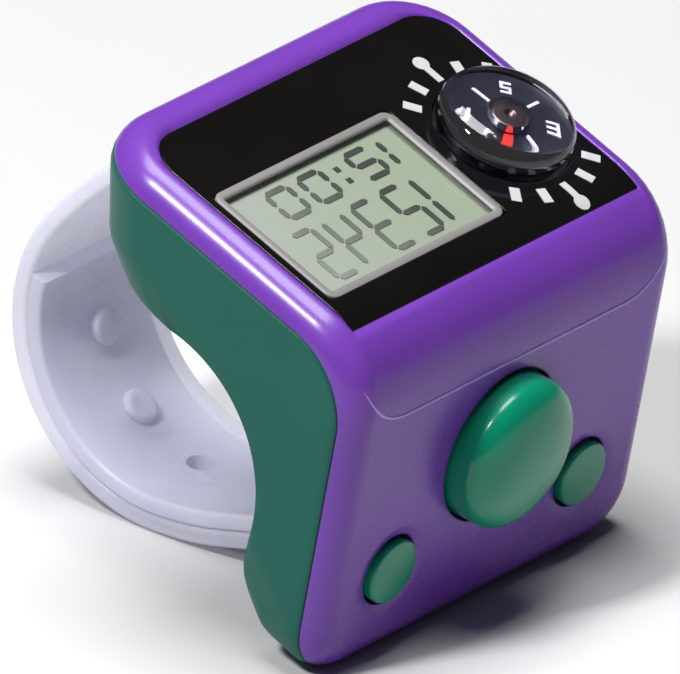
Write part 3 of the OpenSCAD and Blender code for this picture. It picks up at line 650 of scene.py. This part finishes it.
class Finish(Enum):
    """The finishes of this counter, each made once."""

    PURPLE = MouldedPlastic("purple_shell", (0.150, 0.042, 0.37), 0.27, 0.05, 0.00030, 0.05, 0.10, 0.35)
    # The crease's pale purple is a painted highlight along the raised line.
    CREASE_HIGHLIGHT = MouldedPlastic("crease_painted_highlight", (0.40, 0.27, 0.74), 0.4, 0.05, 0.00002, 0.0, 0.0)
    GREEN_SHELL = MouldedPlastic("green_shell", (0.003, 0.100, 0.074), 0.45, 0.10, 0.00060, 0.22, 0.0, 0.25)
    GREEN_BUTTON = MouldedPlastic("green_button", (0.002, 0.235, 0.13), 0.22, 0.05, 0.00012, 0.1, 0.12, 0.35)
    PANEL = GlossFilm("black_panel")
    BEZEL = MouldedPlastic("bezel_plastic", (0.22, 0.21, 0.21), 0.40, 0.08, 0.00008, 0.1, 0.05)
    SEGMENT = DisplayInk("display_ink")
    GROUND = DisplayGround("display_ground")
    GLASS = ClearPlastic("display_glass", (0.985, 0.99, 0.985), (0.4, 0.42, 0.4), 0.0, 0.02, 0.25)
    DOME = DomePlastic("dome_clear")
    COMPASS_BLACK = MouldedPlastic("compass_black", (0.004, 0.004, 0.010), 0.45, 0.1, 0.00008, 0.1, 0.0, 0.3)
    WHITE_INK = Printed("white_ink", (0.50, 0.50, 0.50))
    RED_INK = Printed("red_ink", (0.62, 0.02, 0.012), 0.4)
    HUB = Metal("hub_brass", (0.20, 0.15, 0.135), 0.32)
    STEEL = Metal("plated_steel", (0.60, 0.61, 0.64), 0.32)
    CELL = Metal("cell_steel", (0.68, 0.69, 0.71), 0.28)
    CONTACT = Metal("contact_metal", (0.80, 0.62, 0.30), 0.3)
    MAGNET = Metal("magnet", (0.16, 0.16, 0.17), 0.55)
    BOARD = CircuitBoard("board")
    EPOXY = MouldedPlastic("epoxy", (0.012, 0.012, 0.014), 0.25, 0.1, 0.0001, 0.1, 0.3)
    RUBBER = MouldedPlastic("membrane_rubber", (0.55, 0.55, 0.52), 0.6, 0.15, 0.0001, 0.05, 0.0)
    ZEBRA = Printed("contact_rubber", (0.20, 0.15, 0.20), 0.7)
    RIBBON = Printed("ribbon_film", (0.5, 0.26, 0.06), 0.35)
    BAND = Silicone("band_silicone")

    @property
    def material(self) -> bpy.types.Material:
        """The material, made on first use."""
        if self.name not in MADE:
            MADE[self.name] = self.value.build()
        return MADE[self.name]


# Meshes


def grid_faces(rows: int, columns: int, around: bool, along: bool = False) -> Array:
    """Quads of a grid of points, numbered row by row.

    Args:
        rows: number of rows.
        columns: number of points in a row.
        around: True joins each row's end to its start.
        along: True joins the last row to the first.

    Returns:
        An array of quads.
    """
    i, j = np.meshgrid(np.arange(rows if along else rows - 1), np.arange(columns if around else columns - 1),
                       indexing="ij")
    k, n = (i + 1) % rows, (j + 1) % columns
    return np.stack([i * columns + j, i * columns + n, k * columns + n, k * columns + j], -1).reshape(-1, 4)


def smooth(mesh: bpy.types.Mesh, sharp: float) -> None:
    """Shades a mesh smooth, but for edges past an angle in degrees."""
    mesh.polygons.foreach_set("use_smooth", np.ones(len(mesh.polygons), bool))
    mesh.set_sharp_from_angle(angle=math.radians(sharp))


def put_in(name: str, mesh: bpy.types.Mesh, sharp: float) -> bpy.types.Object:
    """Puts a mesh into the scene, at the origin.

    Args:
        name: the object's name.
        mesh: its mesh.
        sharp: angle past which an edge is sharp, in degrees.

    Returns:
        The object.
    """
    smooth(mesh, sharp)
    piece = bpy.data.objects.new(name, mesh)
    bpy.context.scene.collection.objects.link(piece)
    return piece


def make(name: str, points: Array, faces: list[list[int]], sharp: float = 40.0) -> bpy.types.Object:
    """Puts points and faces into a new object at the origin, smooth but for its sharp edges.

    Args:
        name: the piece's name.
        points: its vertices, in metres in the model's frame.
        faces: lists of vertex numbers.
        sharp: angle past which an edge is sharp, in degrees.

    Returns:
        The object.
    """
    mesh = bpy.data.meshes.new(name)
    mesh.from_pydata(points.reshape(-1, 3).tolist(), [], faces)
    mesh.validate()
    return put_in(name, mesh, sharp)


def volume(points: Array, quads: Array) -> float:
    """Signed volume that quads enclose: the sum of their corners' triple products.

    Args:
        points: vertices.
        quads: quads of vertex numbers.

    Returns:
        The volume, negative if the faces point inwards.
    """
    a, b, c, d = (points[quads[:, k]] for k in range(4))
    return float((a * (np.cross(b, c) + np.cross(c, d))).sum() / 6)


def closed_skin(name: str, rows: Array, ring: bool = False, sharp: float = 40.0) -> bpy.types.Object:
    """A closed piece from rows of points that run round it, its ends fanned shut or joined up.

    Args:
        name: the piece's name.
        rows: points, rows by columns by 3, in metres.
        ring: True joins the last row to the first.
        sharp: angle past which an edge is sharp.

    Returns:
        The object, its faces outward.
    """
    count, around = rows.shape[:2]
    points = rows.reshape(-1, 3)
    quads = grid_faces(count, around, True, ring)
    caps: list[list[int]] = []
    if not ring:
        points = np.vstack([points, rows[0].mean(0), rows[-1].mean(0)])
        step = np.arange(around)
        first, last = count * around, count * around + 1
        low = np.stack([np.full(around, first), (step + 1) % around, step], -1)
        high = (count - 1) * around + np.stack([step, (step + 1) % around], -1)
        caps = low.tolist() + np.column_stack([high, np.full(around, last)]).tolist()
    if volume(points - points.mean(0), quads) < 0:
        quads = quads[:, ::-1]
        caps = [face[::-1] for face in caps]
    return make(name, points, quads.tolist() + caps, sharp)


def lathe(name: str, profile: Array, at: Place, around: int = 128, sharp: float = 40.0) -> bpy.types.Object:
    """A turned piece: each profile point swept round the frame's z axis.

    Args:
        name: the piece's name.
        profile: radius and height of each point, from the bottom over the outside to the top.
        at: the frame it stands in.
        around: points round it.
        sharp: angle past which an edge is sharp.

    Returns:
        The object.
    """
    a = np.linspace(0, TURN, around, endpoint=False)
    radius, height = profile[:, :1], profile[:, 1:]
    height = np.broadcast_to(height, (len(profile), around))
    rows = np.stack([radius * np.cos(a), radius * np.sin(a), height], -1)
    return closed_skin(name, at.to_row(rows), sharp=sharp)


def arc(centre: tuple[float, float], radius: float, start: float, end: float, steps: int = 10) -> Array:
    """Points on a circle's arc.

    Args:
        centre: its centre.
        radius: its radius.
        start: first angle in degrees.
        end: last angle in degrees.
        steps: number of steps.

    Returns:
        Points, centre plus radius times cosine and sine.
    """
    a = np.radians(np.linspace(start, end, steps + 1))
    return np.column_stack([centre[0] + radius * np.cos(a), centre[1] + radius * np.sin(a)])


def along_path(path: Array, profile: Array, side: Array) -> Array:
    """Rows of a profile carried along a path in a plane.

    Each row is the path's point plus the profile's first number times the path's normal and its
    second times the side axis, where the normal is the tangent turned a quarter in the plane.

    Args:
        path: points of the path, by 3.
        profile: points of the profile, by 2, running round it.
        side: unit vector square to the path's plane.

    Returns:
        Points, path by profile by 3.
    """
    tangent = np.gradient(path, axis=0)
    tangent /= np.linalg.norm(tangent, axis=1, keepdims=True)
    normal = np.cross(tangent, side)
    return path[:, None] + profile[None, :, :1] * normal[:, None] + profile[None, :, 1:] * side


def dressed_copy(node: str, name: str, sharp: float = 32.0) -> bpy.types.Object:
    """A merged, smoothly shaded copy of a CAD node, which stands for it.

    Args:
        node: the CAD node.
        name: the copy's name.
        sharp: angle past which an edge stays sharp.

    Returns:
        The copy.
    """
    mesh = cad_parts[node].data.copy()
    mesh.name = name
    work = bmesh.new()
    work.from_mesh(mesh)
    bmesh.ops.remove_doubles(work, verts=work.verts, dist=MERGE_WITHIN)
    work.to_mesh(mesh)
    work.free()
    mesh.materials.clear()
    piece = put_in(name, mesh, sharp)
    even = piece.modifiers.new("even_normals", "WEIGHTED_NORMAL")
    even.keep_sharp = True
    even.weight = 90
    return piece


def dress(piece: bpy.types.Object, finish: Finish, body: Body, *nodes: str) -> bpy.types.Object:
    """Gives a new piece its finish and body, and hides the CAD nodes that it stands for.

    Args:
        piece: the object.
        finish: its finish.
        body: the body that it moves with.
        nodes: CAD nodes that it replaces.

    Returns:
        The piece.
    """
    piece.data.materials.clear()
    piece.data.materials.append(finish.material)
    if nodes:
        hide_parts(*nodes)
    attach(piece, body.value)
    log.info("%s: %s on %s, %d faces", piece.name, finish.name.lower(), body.value, len(piece.data.polygons))
    return piece


def paint(node: str, finish: Finish) -> None:
    """Gives a CAD node a finish.

    Args:
        node: the node.
        finish: its finish.
    """
    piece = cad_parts[node]
    if not piece.material_slots:
        piece.data.materials.append(finish.material)
    for slot in piece.material_slots:
        slot.link = "OBJECT"
        slot.material = finish.material
    log.info("%s: CAD node in %s", node, finish.name.lower())


# Sub-assemblies


@dataclass
class Case:
    """Both shells, their crease, the black panel and the screws."""

    crease_s: float = 6.4
    crease_half: float = 12.6
    crease_bend: float = 5.2
    crease_turn: float = 1.25
    crease_r: float = 0.12
    crease_lift: float = 0.8
    cast_from: float = 6.0

    def build(self) -> None:
        """Makes and dresses the case's pieces."""
        upper = self.moulding("upper_shell", Finish.PURPLE)
        self.moulding("lower_shell", Finish.GREEN_SHELL)
        self.crease(upper)
        paint("window_panel", Finish.PANEL)
        self.moulding("battery_door", Finish.GREEN_SHELL)
        for node in ("case_screws", "battery_door_screw", "board_screws", "key_board_screws"):
            paint(node, Finish.STEEL)

    def moulding(self, node: str, finish: Finish) -> bpy.types.Object:
        """Dresses a copy of one of the case's CAD nodes, and returns it."""
        return dress(dressed_copy(node, f"case_{node}"), finish, Body.CASE, node)

    def crease(self, shell: bpy.types.Object) -> None:
        """The thin raised line across the front, bent up at both ends, laid on the shell.

        The line runs level to crease_half and then up a circle of radius crease_bend, through
        crease_turn radians; each point is dropped on the shell along the face's normal.

        Args:
            shell: the upper shell's piece.
        """
        tree = BVHTree.FromObject(shell, bpy.context.evaluated_depsgraph_get())
        a = np.linspace(0, self.crease_turn, 14)
        bend = np.column_stack([self.crease_half + self.crease_bend * np.sin(a),
                                self.crease_bend * (1 - np.cos(a))])
        flat = np.column_stack([np.linspace(-self.crease_half, self.crease_half, 60), np.zeros(60)])
        line = np.vstack([(bend * [-1, 1])[::-1], flat[1:-1], bend])
        here = on_front(0, self.crease_s)
        out = (here.to_row(np.array([0.0, 0.0, 1.0])) - here.to_row(np.zeros(3))) * 1000
        start = here.to_row(np.column_stack([line, np.full(len(line), self.cast_from)]))
        hits, normals = [], []
        for point in start:
            hit, normal, _, _ = tree.ray_cast(Vector(point), Vector(-out))
            if hit is not None:
                hits.append(hit)
                normals.append(normal)
        path, up = np.array(hits), np.array(normals)
        tangent = np.gradient(path, axis=0)
        tangent /= np.linalg.norm(tangent, axis=1, keepdims=True)
        side = np.cross(up, tangent)
        a = np.linspace(0, TURN, 10, endpoint=False)[None, :, None]
        r = self.crease_r / 1000
        step = np.arange(len(path))
        taper = np.minimum(1, np.minimum(step, step[::-1]) / 6 + 0.05)[:, None, None]
        ring = np.cos(a) * side[:, None] + self.crease_lift * np.sin(a) * up[:, None]
        rows = path[:, None] + taper * r * ring
        # The raised line is dressed in a paler purple, a painted highlight.
        dress(closed_skin("front_crease", rows), Finish.CREASE_HIGHLIGHT, Body.CASE)


@dataclass
class Display:
    """The display's bezel and its stack."""

    x: float = -5.72
    y: float = 8.95
    width: float = 20.1
    depth: float = 12.3
    rim: float = 0.75
    corner: float = 0.9
    thick: float = 0.8
    proud: float = 0.06
    sill: float = -0.135
    seat: float = 0.35

    def build(self) -> None:
        """Makes the bezel and paints the stack."""
        self.bezel()
        paint("lcd_segments", Finish.SEGMENT)
        paint("lcd_front_glass", Finish.GLASS)
        paint("lcd_back_glass", Finish.GROUND)
        paint("lcd_reflector", Finish.GROUND)
        paint("zebra_strips", Finish.ZEBRA)

    def bezel(self) -> None:
        """A frame with a rounded outer lip and a sloped inner lip.

        The path is a rounded rectangle from four corner arcs; the profile is moved in along the
        path's normal and up along z.
        """
        half_w, half_d, c = self.width / 2, self.depth / 2, self.corner
        corners = [((half_w - c, half_d - c), 0), ((c - half_w, half_d - c), 90),
                   ((c - half_w, c - half_d), 180), ((half_w - c, c - half_d), 270)]
        path = np.vstack([arc(centre, c, turn, turn + 90, 8) for centre, turn in corners])
        middle = np.array([centre for centre, _ in corners]).repeat(9, 0)
        inward = (middle - path) / c
        lip, foot = self.rim, 0.02 - self.thick
        profile = np.array([[0, foot], [0, -0.05], [0.03, 0.02], [0.10, self.proud], [lip - 0.22, self.proud],
                            [lip - 0.12, 0.03], [lip - 0.02, -0.09], [lip, self.sill], [self.seat, self.sill],
                            [self.seat, foot]])
        flat = path[:, None] + profile[None, :, :1] * inward[:, None]
        rows = np.concatenate([flat, np.broadcast_to(profile[None, :, 1:], (len(path), len(profile), 1))], -1)
        rows = Place((self.x, self.y, 0.0)).to_row(rows)
        dress(closed_skin("display_bezel", rows, ring=True, sharp=35), Finish.BEZEL, Body.CASE, "lcd_bezel")


@dataclass
class Buttons:
    """The count button and the two small ones."""

    count_s: float = 13.8
    count_r: float = 5.9
    count_rise: float = 3.64
    count_wall: float = 1.4
    small_s: float = 20.386
    small_x: float = 11.0
    small_r: float = 2.55
    small_rise: float = 0.5
    flange: float = 0.7
    flange_top: float = -1.7
    flange_under: float = -2.4
    fillet: float = 0.24
    crown: float = 0.12
    dome_power: float = 2.4

    def foot(self, r: float) -> Array:
        """Outline of a cap's flange, and of its skirt's lower end."""
        return np.array([[0.01, self.flange_under], [r + self.flange, self.flange_under],
                         [r + self.flange, self.flange_top], [r, self.flange_top]])

    def small_profile(self) -> Array:
        """Outline of a small cap: flange, skirt, rounded shoulder and a low crown.

        The crown's height rises with one less the square of the share of the radius.

        Returns:
            Radius and height of each point.
        """
        middle = (self.small_r - self.fillet, self.small_rise - self.crown - self.fillet)
        shoulder = arc(middle, self.fillet, 0, 80, 8)
        share = np.linspace(0.96, 0.002, 12)
        top = np.column_stack([shoulder[-1, 0] * share,
                               shoulder[-1, 1] + (self.small_rise - shoulder[-1, 1]) * (1 - share ** 2)])
        return np.vstack([self.foot(self.small_r), shoulder, top])

    def count_profile(self) -> Array:
        """Outline of the count cap: flange, skirt and a broad dome.

        The dome's height over the skirt is its rise times the square root of one less the share of
        the radius to the dome's power.

        Returns:
            Radius and height of each point.
        """
        share = np.sin(np.linspace(math.pi / 2, 0.001, 44))
        height = self.count_wall + (self.count_rise - self.count_wall) * np.sqrt(1 - share ** self.dome_power)
        return np.vstack([self.foot(self.count_r), np.column_stack([self.count_r * share, height])])

    def build(self) -> None:
        """Makes the three caps and paints what is under them."""
        count = lathe("count_cap", self.count_profile(), on_front(0, self.count_s), 160)
        dress(count, Finish.GREEN_BUTTON, Body.COUNT, "count_button")
        for side, name, body in ((-1, "reset", Body.RESET), (1, "mode", Body.MODE)):
            place = on_front(side * self.small_x, self.small_s)
            piece = lathe(f"{name}_cap", self.small_profile(), place, 96)
            dress(piece, Finish.GREEN_BUTTON, body, f"{name}_button")
        paint("button_membrane", Finish.RUBBER)
        paint("key_board", Finish.BOARD)
        paint("key_ribbon", Finish.RIBBON)


@dataclass
class Compass:
    """The dome, the floating card and what carries it."""

    x: float = 10.8
    y: float = 9.06
    dome_r: float = 5.3
    dome_h: float = 2.9
    shoulder: float = 1.9
    foot: float = -0.3
    card_room_r: float = 4.65
    card_room_top: float = 0.6
    hub_room_r: float = 1.6
    hub_room_top: float = 1.35
    hub_r: float = 1.45
    hub_foot: float = 0.45
    hub_top: float = 1.2
    hub_rim: float = 0.27
    bore_r: float = 0.4
    bore_top: float = 0.85
    dimple_r: float = 0.5
    dimple_z: float = 1.45

    def build(self) -> None:
        """Makes the dome and the hub, and paints the rest."""
        self.dome()
        self.hub()
        paint("compass_cup", Finish.COMPASS_BLACK)
        card = dressed_copy("compass_card", "compass_floating_card")
        dress(card, Finish.COMPASS_BLACK, Body.NEEDLE, "compass_card")
        paint("compass_card_marks", Finish.WHITE_INK)
        paint("compass_scale_marks", Finish.WHITE_INK)
        paint("north_arrow", Finish.RED_INK)
        paint("compass_magnet", Finish.MAGNET)
        paint("compass_pivot_pin", Finish.STEEL)

    def dome(self) -> None:
        """The thick dome: a stepped room that the card and hub turn in, then a superelliptic crown.

        The crown's radius goes with the cosine of t to a power below one, its height with the
        sine of t to another.
        """
        t = np.linspace(0, math.pi / 2, 30)
        crown = np.column_stack([self.dome_r * np.cos(t) ** 0.5,
                                 self.dome_h - self.shoulder * (1 - np.sin(t) ** 0.9)])
        crown[-1, 0] = NEAR_AXIS
        rooms = np.array([[NEAR_AXIS, self.hub_room_top], [self.hub_room_r, self.hub_room_top],
                          [self.hub_room_r, self.card_room_top], [self.card_room_r, self.card_room_top],
                          [self.card_room_r, self.foot], [self.dome_r, self.foot]])
        dome = lathe("compass_clear_dome", np.vstack([rooms, crown]), Place((self.x, self.y, 0.0)), 144)
        dress(dome, Finish.DOME, Body.CASE, "compass_dome")

    def hub(self) -> None:
        """The hub cap: a low turned knob with a bore for the pin, a rounded rim and a dimple."""
        bore = [[NEAR_AXIS, self.bore_top], [self.bore_r, self.bore_top],
                [self.bore_r, self.hub_foot], [self.hub_r, self.hub_foot]]
        rim = arc((self.hub_r - self.hub_rim, self.hub_top - self.hub_rim), self.hub_rim, 0, 90, 6)
        dimple = arc((0.0, self.dimple_z), self.dimple_r, -40, -88, 5)
        profile = np.vstack([bore, rim, [[0.45, self.hub_top]], dimple])
        hub = lathe("compass_hub", profile, Place((self.x, self.y, 0.0)), 64)
        dress(hub, Finish.HUB, Body.NEEDLE, "compass_hub_cap")


@dataclass
class Band:
    """The two silicone straps of the finger ring, and the pegs that join them."""

    width: float = 13.9
    thick: float = 1.35
    bend_r: float = 13.595
    bend_c: tuple[float, float] = (18.4, -23.0)
    upper_r: float = 40.0
    lower_r: float = 30.0
    upper_from: float = 44.5
    bend_from: float = 17.0
    bend_to: float = -113.0
    tip: float = -6.0
    gap: float = 0.02
    hole_d: float = 2.2
    first_hole: float = -37.0
    hole_step: float = 35.0
    bulb: tuple[float, float] = (-3.0, -22.2)
    end: float = 5.5
    lip: float = 0.34
    holes: int = 3
    pegs: int = 2
    peg_r: float = 1.02
    peg_round: float = 0.5
    peg_flat: float = 0.6

    def centre(self, angle: float, radius: float) -> tuple[float, float]:
        """Centre of an arc that meets the bend smoothly at an angle."""
        a = math.radians(angle)
        shift = self.bend_r - radius
        return (self.bend_c[0] + shift * math.cos(a), self.bend_c[1] + shift * math.sin(a))

    def bulb_way(self) -> tuple[float, float, float]:
        """How the inner strap gets from the lower arc to the bulb.

        Returns:
            The bulb's bearing from the arc's centre in radians, its distance, and the arc's radius
            at the inner strap's middle line.
        """
        c = self.centre(self.bend_to, self.lower_r)
        dy, dz = self.bulb[0] - c[0], self.bulb[1] - c[1]
        return math.atan2(dz, dy), math.hypot(dy, dz), self.lower_r - 1.5 * self.thick - self.gap

    def tail_turn(self) -> float:
        """Angle at which the straight end leaves the lower arc for the bulb.

        Returns:
            The bulb's bearing plus the angle whose cosine is radius over distance, in degrees.
        """
        bearing, far, radius = self.bulb_way()
        return math.degrees(bearing + math.acos(radius / far))

    def front_tail(self) -> float:
        """Length of the inner strap's straight end, from the lower arc to the bulb."""
        _, far, radius = self.bulb_way()
        return math.sqrt(far * far - radius * radius)

    def line(self, depth: float, upper: bool, tail: float) -> Array:
        """A strap's middle line in the side view.

        Args:
            depth: how far inside the band's outer side.
            upper: True starts at the case's back, False at the inner strap's tip.
            tail: length of the straight end.

        Returns:
            Points, by 2.
        """
        last = self.tail_turn()
        parts = []
        if upper:
            middle = self.centre(self.bend_from, self.upper_r)
            parts.append(arc(middle, self.upper_r - depth, self.upper_from, self.bend_from, 24)[:-1])
        start = self.bend_from if upper else self.tip
        parts.append(arc(self.bend_c, self.bend_r - depth, start, self.bend_to, 84))
        lower = arc(self.centre(self.bend_to, self.lower_r), self.lower_r - depth, self.bend_to, last, 8)
        a = math.radians(last)
        way = np.array([math.sin(a), -math.cos(a)])
        steps = np.linspace(0, tail, 10)[1:, None]
        return np.vstack([*parts, lower[1:], lower[-1] + steps * way])

    def section(self) -> Array:
        """Cross-section of a strap, a rectangle with rounded corners.

        Returns:
            Points as depth and width, running round.
        """
        t, w, r = self.thick / 2, self.width / 2, self.lip
        corners = [((t - r, w - r), 0), ((r - t, w - r), 90), ((r - t, r - w), 180), ((t - r, r - w), 270)]
        return np.vstack([arc(centre, r, turn, turn + 90, 5) for centre, turn in corners])

    def strap(self, name: str, line: Array) -> bpy.types.Object:
        """A strap: the section carried along a line, its ends flat.

        Args:
            name: the piece's name.
            line: the middle line in the side view.

        Returns:
            The object.
        """
        path = np.column_stack([np.zeros(len(line)), line])
        rows = along_path(path, self.section(), X_AXIS)
        return closed_skin(name, FLAT.to_row(rows), sharp=45)

    def peg_place(self, index: int) -> tuple[Array, Array]:
        """A hole's direction from the bend's centre.

        Args:
            index: number of the hole.

        Returns:
            The centre and the unit direction, in the case's frame.
        """
        a = math.radians(self.first_hole - index * self.hole_step)
        return np.array([0.0, *self.bend_c]), np.array([0.0, math.cos(a), math.sin(a)])

    def turned(self, name: str, index: int, profile: Array, around: int = 48) -> bpy.types.Object:
        """A turned piece on a hole's axis.

        Args:
            name: the piece's name.
            index: number of the hole.
            profile: radius and distance from the bend's centre.
            around: points round it.

        Returns:
            The object.
        """
        centre, way = self.peg_place(index)
        third = np.cross(way, X_AXIS)
        a = np.linspace(0, TURN, around, endpoint=False)
        ring = np.cos(a)[:, None] * X_AXIS + np.sin(a)[:, None] * third
        rows = centre + profile[:, None, :1] * ring + profile[:, None, 1:] * way
        return closed_skin(name, FLAT.to_row(rows))

    def build(self) -> None:
        """Makes both straps, cuts the holes and sets the pegs."""
        half = self.thick / 2
        rear = self.strap("ring_rear_strap", self.line(half, True, self.end))
        inside = self.line(self.thick + self.gap + half, False, self.front_tail())
        front = self.strap("ring_front_strap", inside)
        inner = self.bend_r - 2 * self.thick - self.gap
        for index in range(self.holes):
            profile = np.array([[self.hole_d / 2, inner - 1.0], [self.hole_d / 2, inner + self.thick + 0.6]])
            cutter = self.turned(f"hole_cutter_{index}", index, profile, 40)
            cut = front.modifiers.new(f"hole_{index}", "BOOLEAN")
            cut.object, cut.operation, cut.solver = cutter, "DIFFERENCE", "EXACT"
            self.apply(front)
            bpy.data.objects.remove(cutter)
        low = inner - 0.1
        shank = [[self.peg_r, low + 0.02], [self.peg_r, low + 1.9]]
        head = np.vstack([arc((0.95, low - 0.22), self.peg_round, -90, 60, 10), shank])
        head[0, 0] = self.peg_flat
        for index in range(self.pegs):
            dress(self.turned(f"ring_peg_{index}", index, head), Finish.BAND, Body.CASE)
        dress(rear, Finish.BAND, Body.CASE, "rear_strap")
        dress(front, Finish.BAND, Body.CASE, "front_strap")

    def apply(self, piece: bpy.types.Object) -> None:
        """Bakes a piece's modifiers into its mesh.

        Args:
            piece: the object.
        """
        graph = bpy.context.evaluated_depsgraph_get()
        mesh = bpy.data.meshes.new_from_object(piece.evaluated_get(graph))
        piece.modifiers.clear()
        piece.data = mesh
        smooth(mesh, 45)


@dataclass
class Electronics:
    """What the case hides: board, cell, contacts and chip."""

    def build(self) -> None:
        """Paints the hidden nodes."""
        hidden = {"circuit_board": Finish.BOARD, "controller_blob": Finish.EPOXY,
                  "timing_crystal": Finish.STEEL, "battery_cell": Finish.CELL,
                  "battery_top_contact": Finish.CONTACT, "battery_door_contact": Finish.CONTACT}
        for node, finish in hidden.items():
            paint(node, finish)


@dataclass
class Studio:
    """Floor, light and camera."""

    aim: tuple[float, float, float] = (-18.33, -0.143, 0.0)
    right: tuple[float, float, float] = (0.62730, -0.71028, 0.31945)
    up: tuple[float, float, float] = (0.31646, 0.60728, 0.72876)
    toward: tuple[float, float, float] = (-0.7116, -0.3561, 0.6057)
    distance: float = 1.85
    view_width: float = 0.680 / 14
    sensor: float = 36.0
    floor_half: float = 3.0
    floor_drop: float = 0.00005

    def build(self) -> None:
        """Sets the camera, the floor, the lamps and the world."""
        self.camera()
        self.floor()
        self.lamps()

    def camera(self) -> None:
        """The camera on the photograph's line of sight, at a lens that gives its frame."""
        turn = turn_x(REST_TILT)
        axes = np.column_stack([turn @ np.array(v) for v in (self.right, self.up, self.toward)])
        spot = FLAT.to_row(np.array(self.aim)) + axes[:, 2] * self.distance
        data = bpy.data.cameras.new("camera")
        data.sensor_width = self.sensor
        data.lens = self.sensor * self.distance / self.view_width
        data.clip_start, data.clip_end = 0.05, 20.0
        camera = bpy.data.objects.new("camera", data)
        camera.matrix_world = Matrix.Translation(Vector(spot)) @ Matrix(axes.tolist()).to_4x4()
        bpy.context.scene.collection.objects.link(camera)
        bpy.context.scene.camera = camera

    def floor(self) -> None:
        """A plain pale floor under the lowest point."""
        z = float(CAD_BOX[0][2]) - self.floor_drop
        s = self.floor_half
        points = np.array([[-s, -s, z], [s, -s, z], [s, s, z], [-s, s, z]])
        floor = make("floor", points, [[0, 1, 2, 3]])
        r = Recipe("pale_floor")
        grain = r.noise(40, 2, 0.5)
        tone = r.blend(grain, (0.60, 0.60, 0.605, 1.0), (0.62, 0.62, 0.625, 1.0))
        floor.data.materials.append(r.surface({"Base Color": tone, "Roughness": grain * 0.05 + 0.7}))

    def lamp(self, name: str, way: Sequence[float], size: float, power: float, far: float = 0.55) -> None:
        """A soft square lamp that looks at the counter.

        Args:
            name: its name.
            way: direction from the counter, in the case's frame.
            size: its side in metres.
            power: its power in watts.
            far: its distance in metres.
        """
        d = turn_x(REST_TILT) @ np.array(way, float)
        d /= np.linalg.norm(d)
        data = bpy.data.lights.new(name, "AREA")
        data.shape, data.size, data.energy = "SQUARE", size, power
        lamp = bpy.data.objects.new(name, data)
        lamp.location = Vector(d * far)
        lamp.rotation_euler = Vector(d).to_track_quat("Z", "Y").to_euler()
        bpy.context.scene.collection.objects.link(lamp)

    def lamps(self) -> None:
        """A small top light from the left, a weak front box, a broad overhead lamp and a surround."""
        self.lamp("top_light", (-0.58, 0.356, 0.685), 0.07, 2.4)
        self.lamp("front_box", (0.10, -0.95, 0.12), 0.02, 0.05)
        self.lamp("overhead", (0.0, 0.45, 1.0), 0.36, 5.6, 0.7)
        self.surround()
        bpy.context.scene.view_settings.view_transform = "Standard"

    def surround(self, dim: float = 0.035, pale: float = 0.86) -> None:
        """A dim white surround for the light, which shows as a pale backdrop.

        Args:
            dim: strength that lights the counter.
            pale: strength of the backdrop itself.
        """
        r = Recipe("studio", world=True)
        skies = [r.node("ShaderNodeBackground", {}, {"Color": rgba(WHITE), "Strength": power})
                 for power in (dim, pale)]
        seen = r.wire(r.node("ShaderNodeLightPath", {}, {}), "Is Camera Ray")
        bpy.context.scene.world = r.show(r.mix(seen, *skies))


def main() -> None:
    """Builds the counter and its studio, in order."""
    logging.basicConfig(level=logging.INFO, format="%(name)s %(message)s")
    Studio().build()
    for part in (Case(), Display(), Buttons(), Compass(), Band(), Electronics()):
        part.build()
        log.info("%s done", type(part).__name__)


if __name__ == "__main__":
    main()
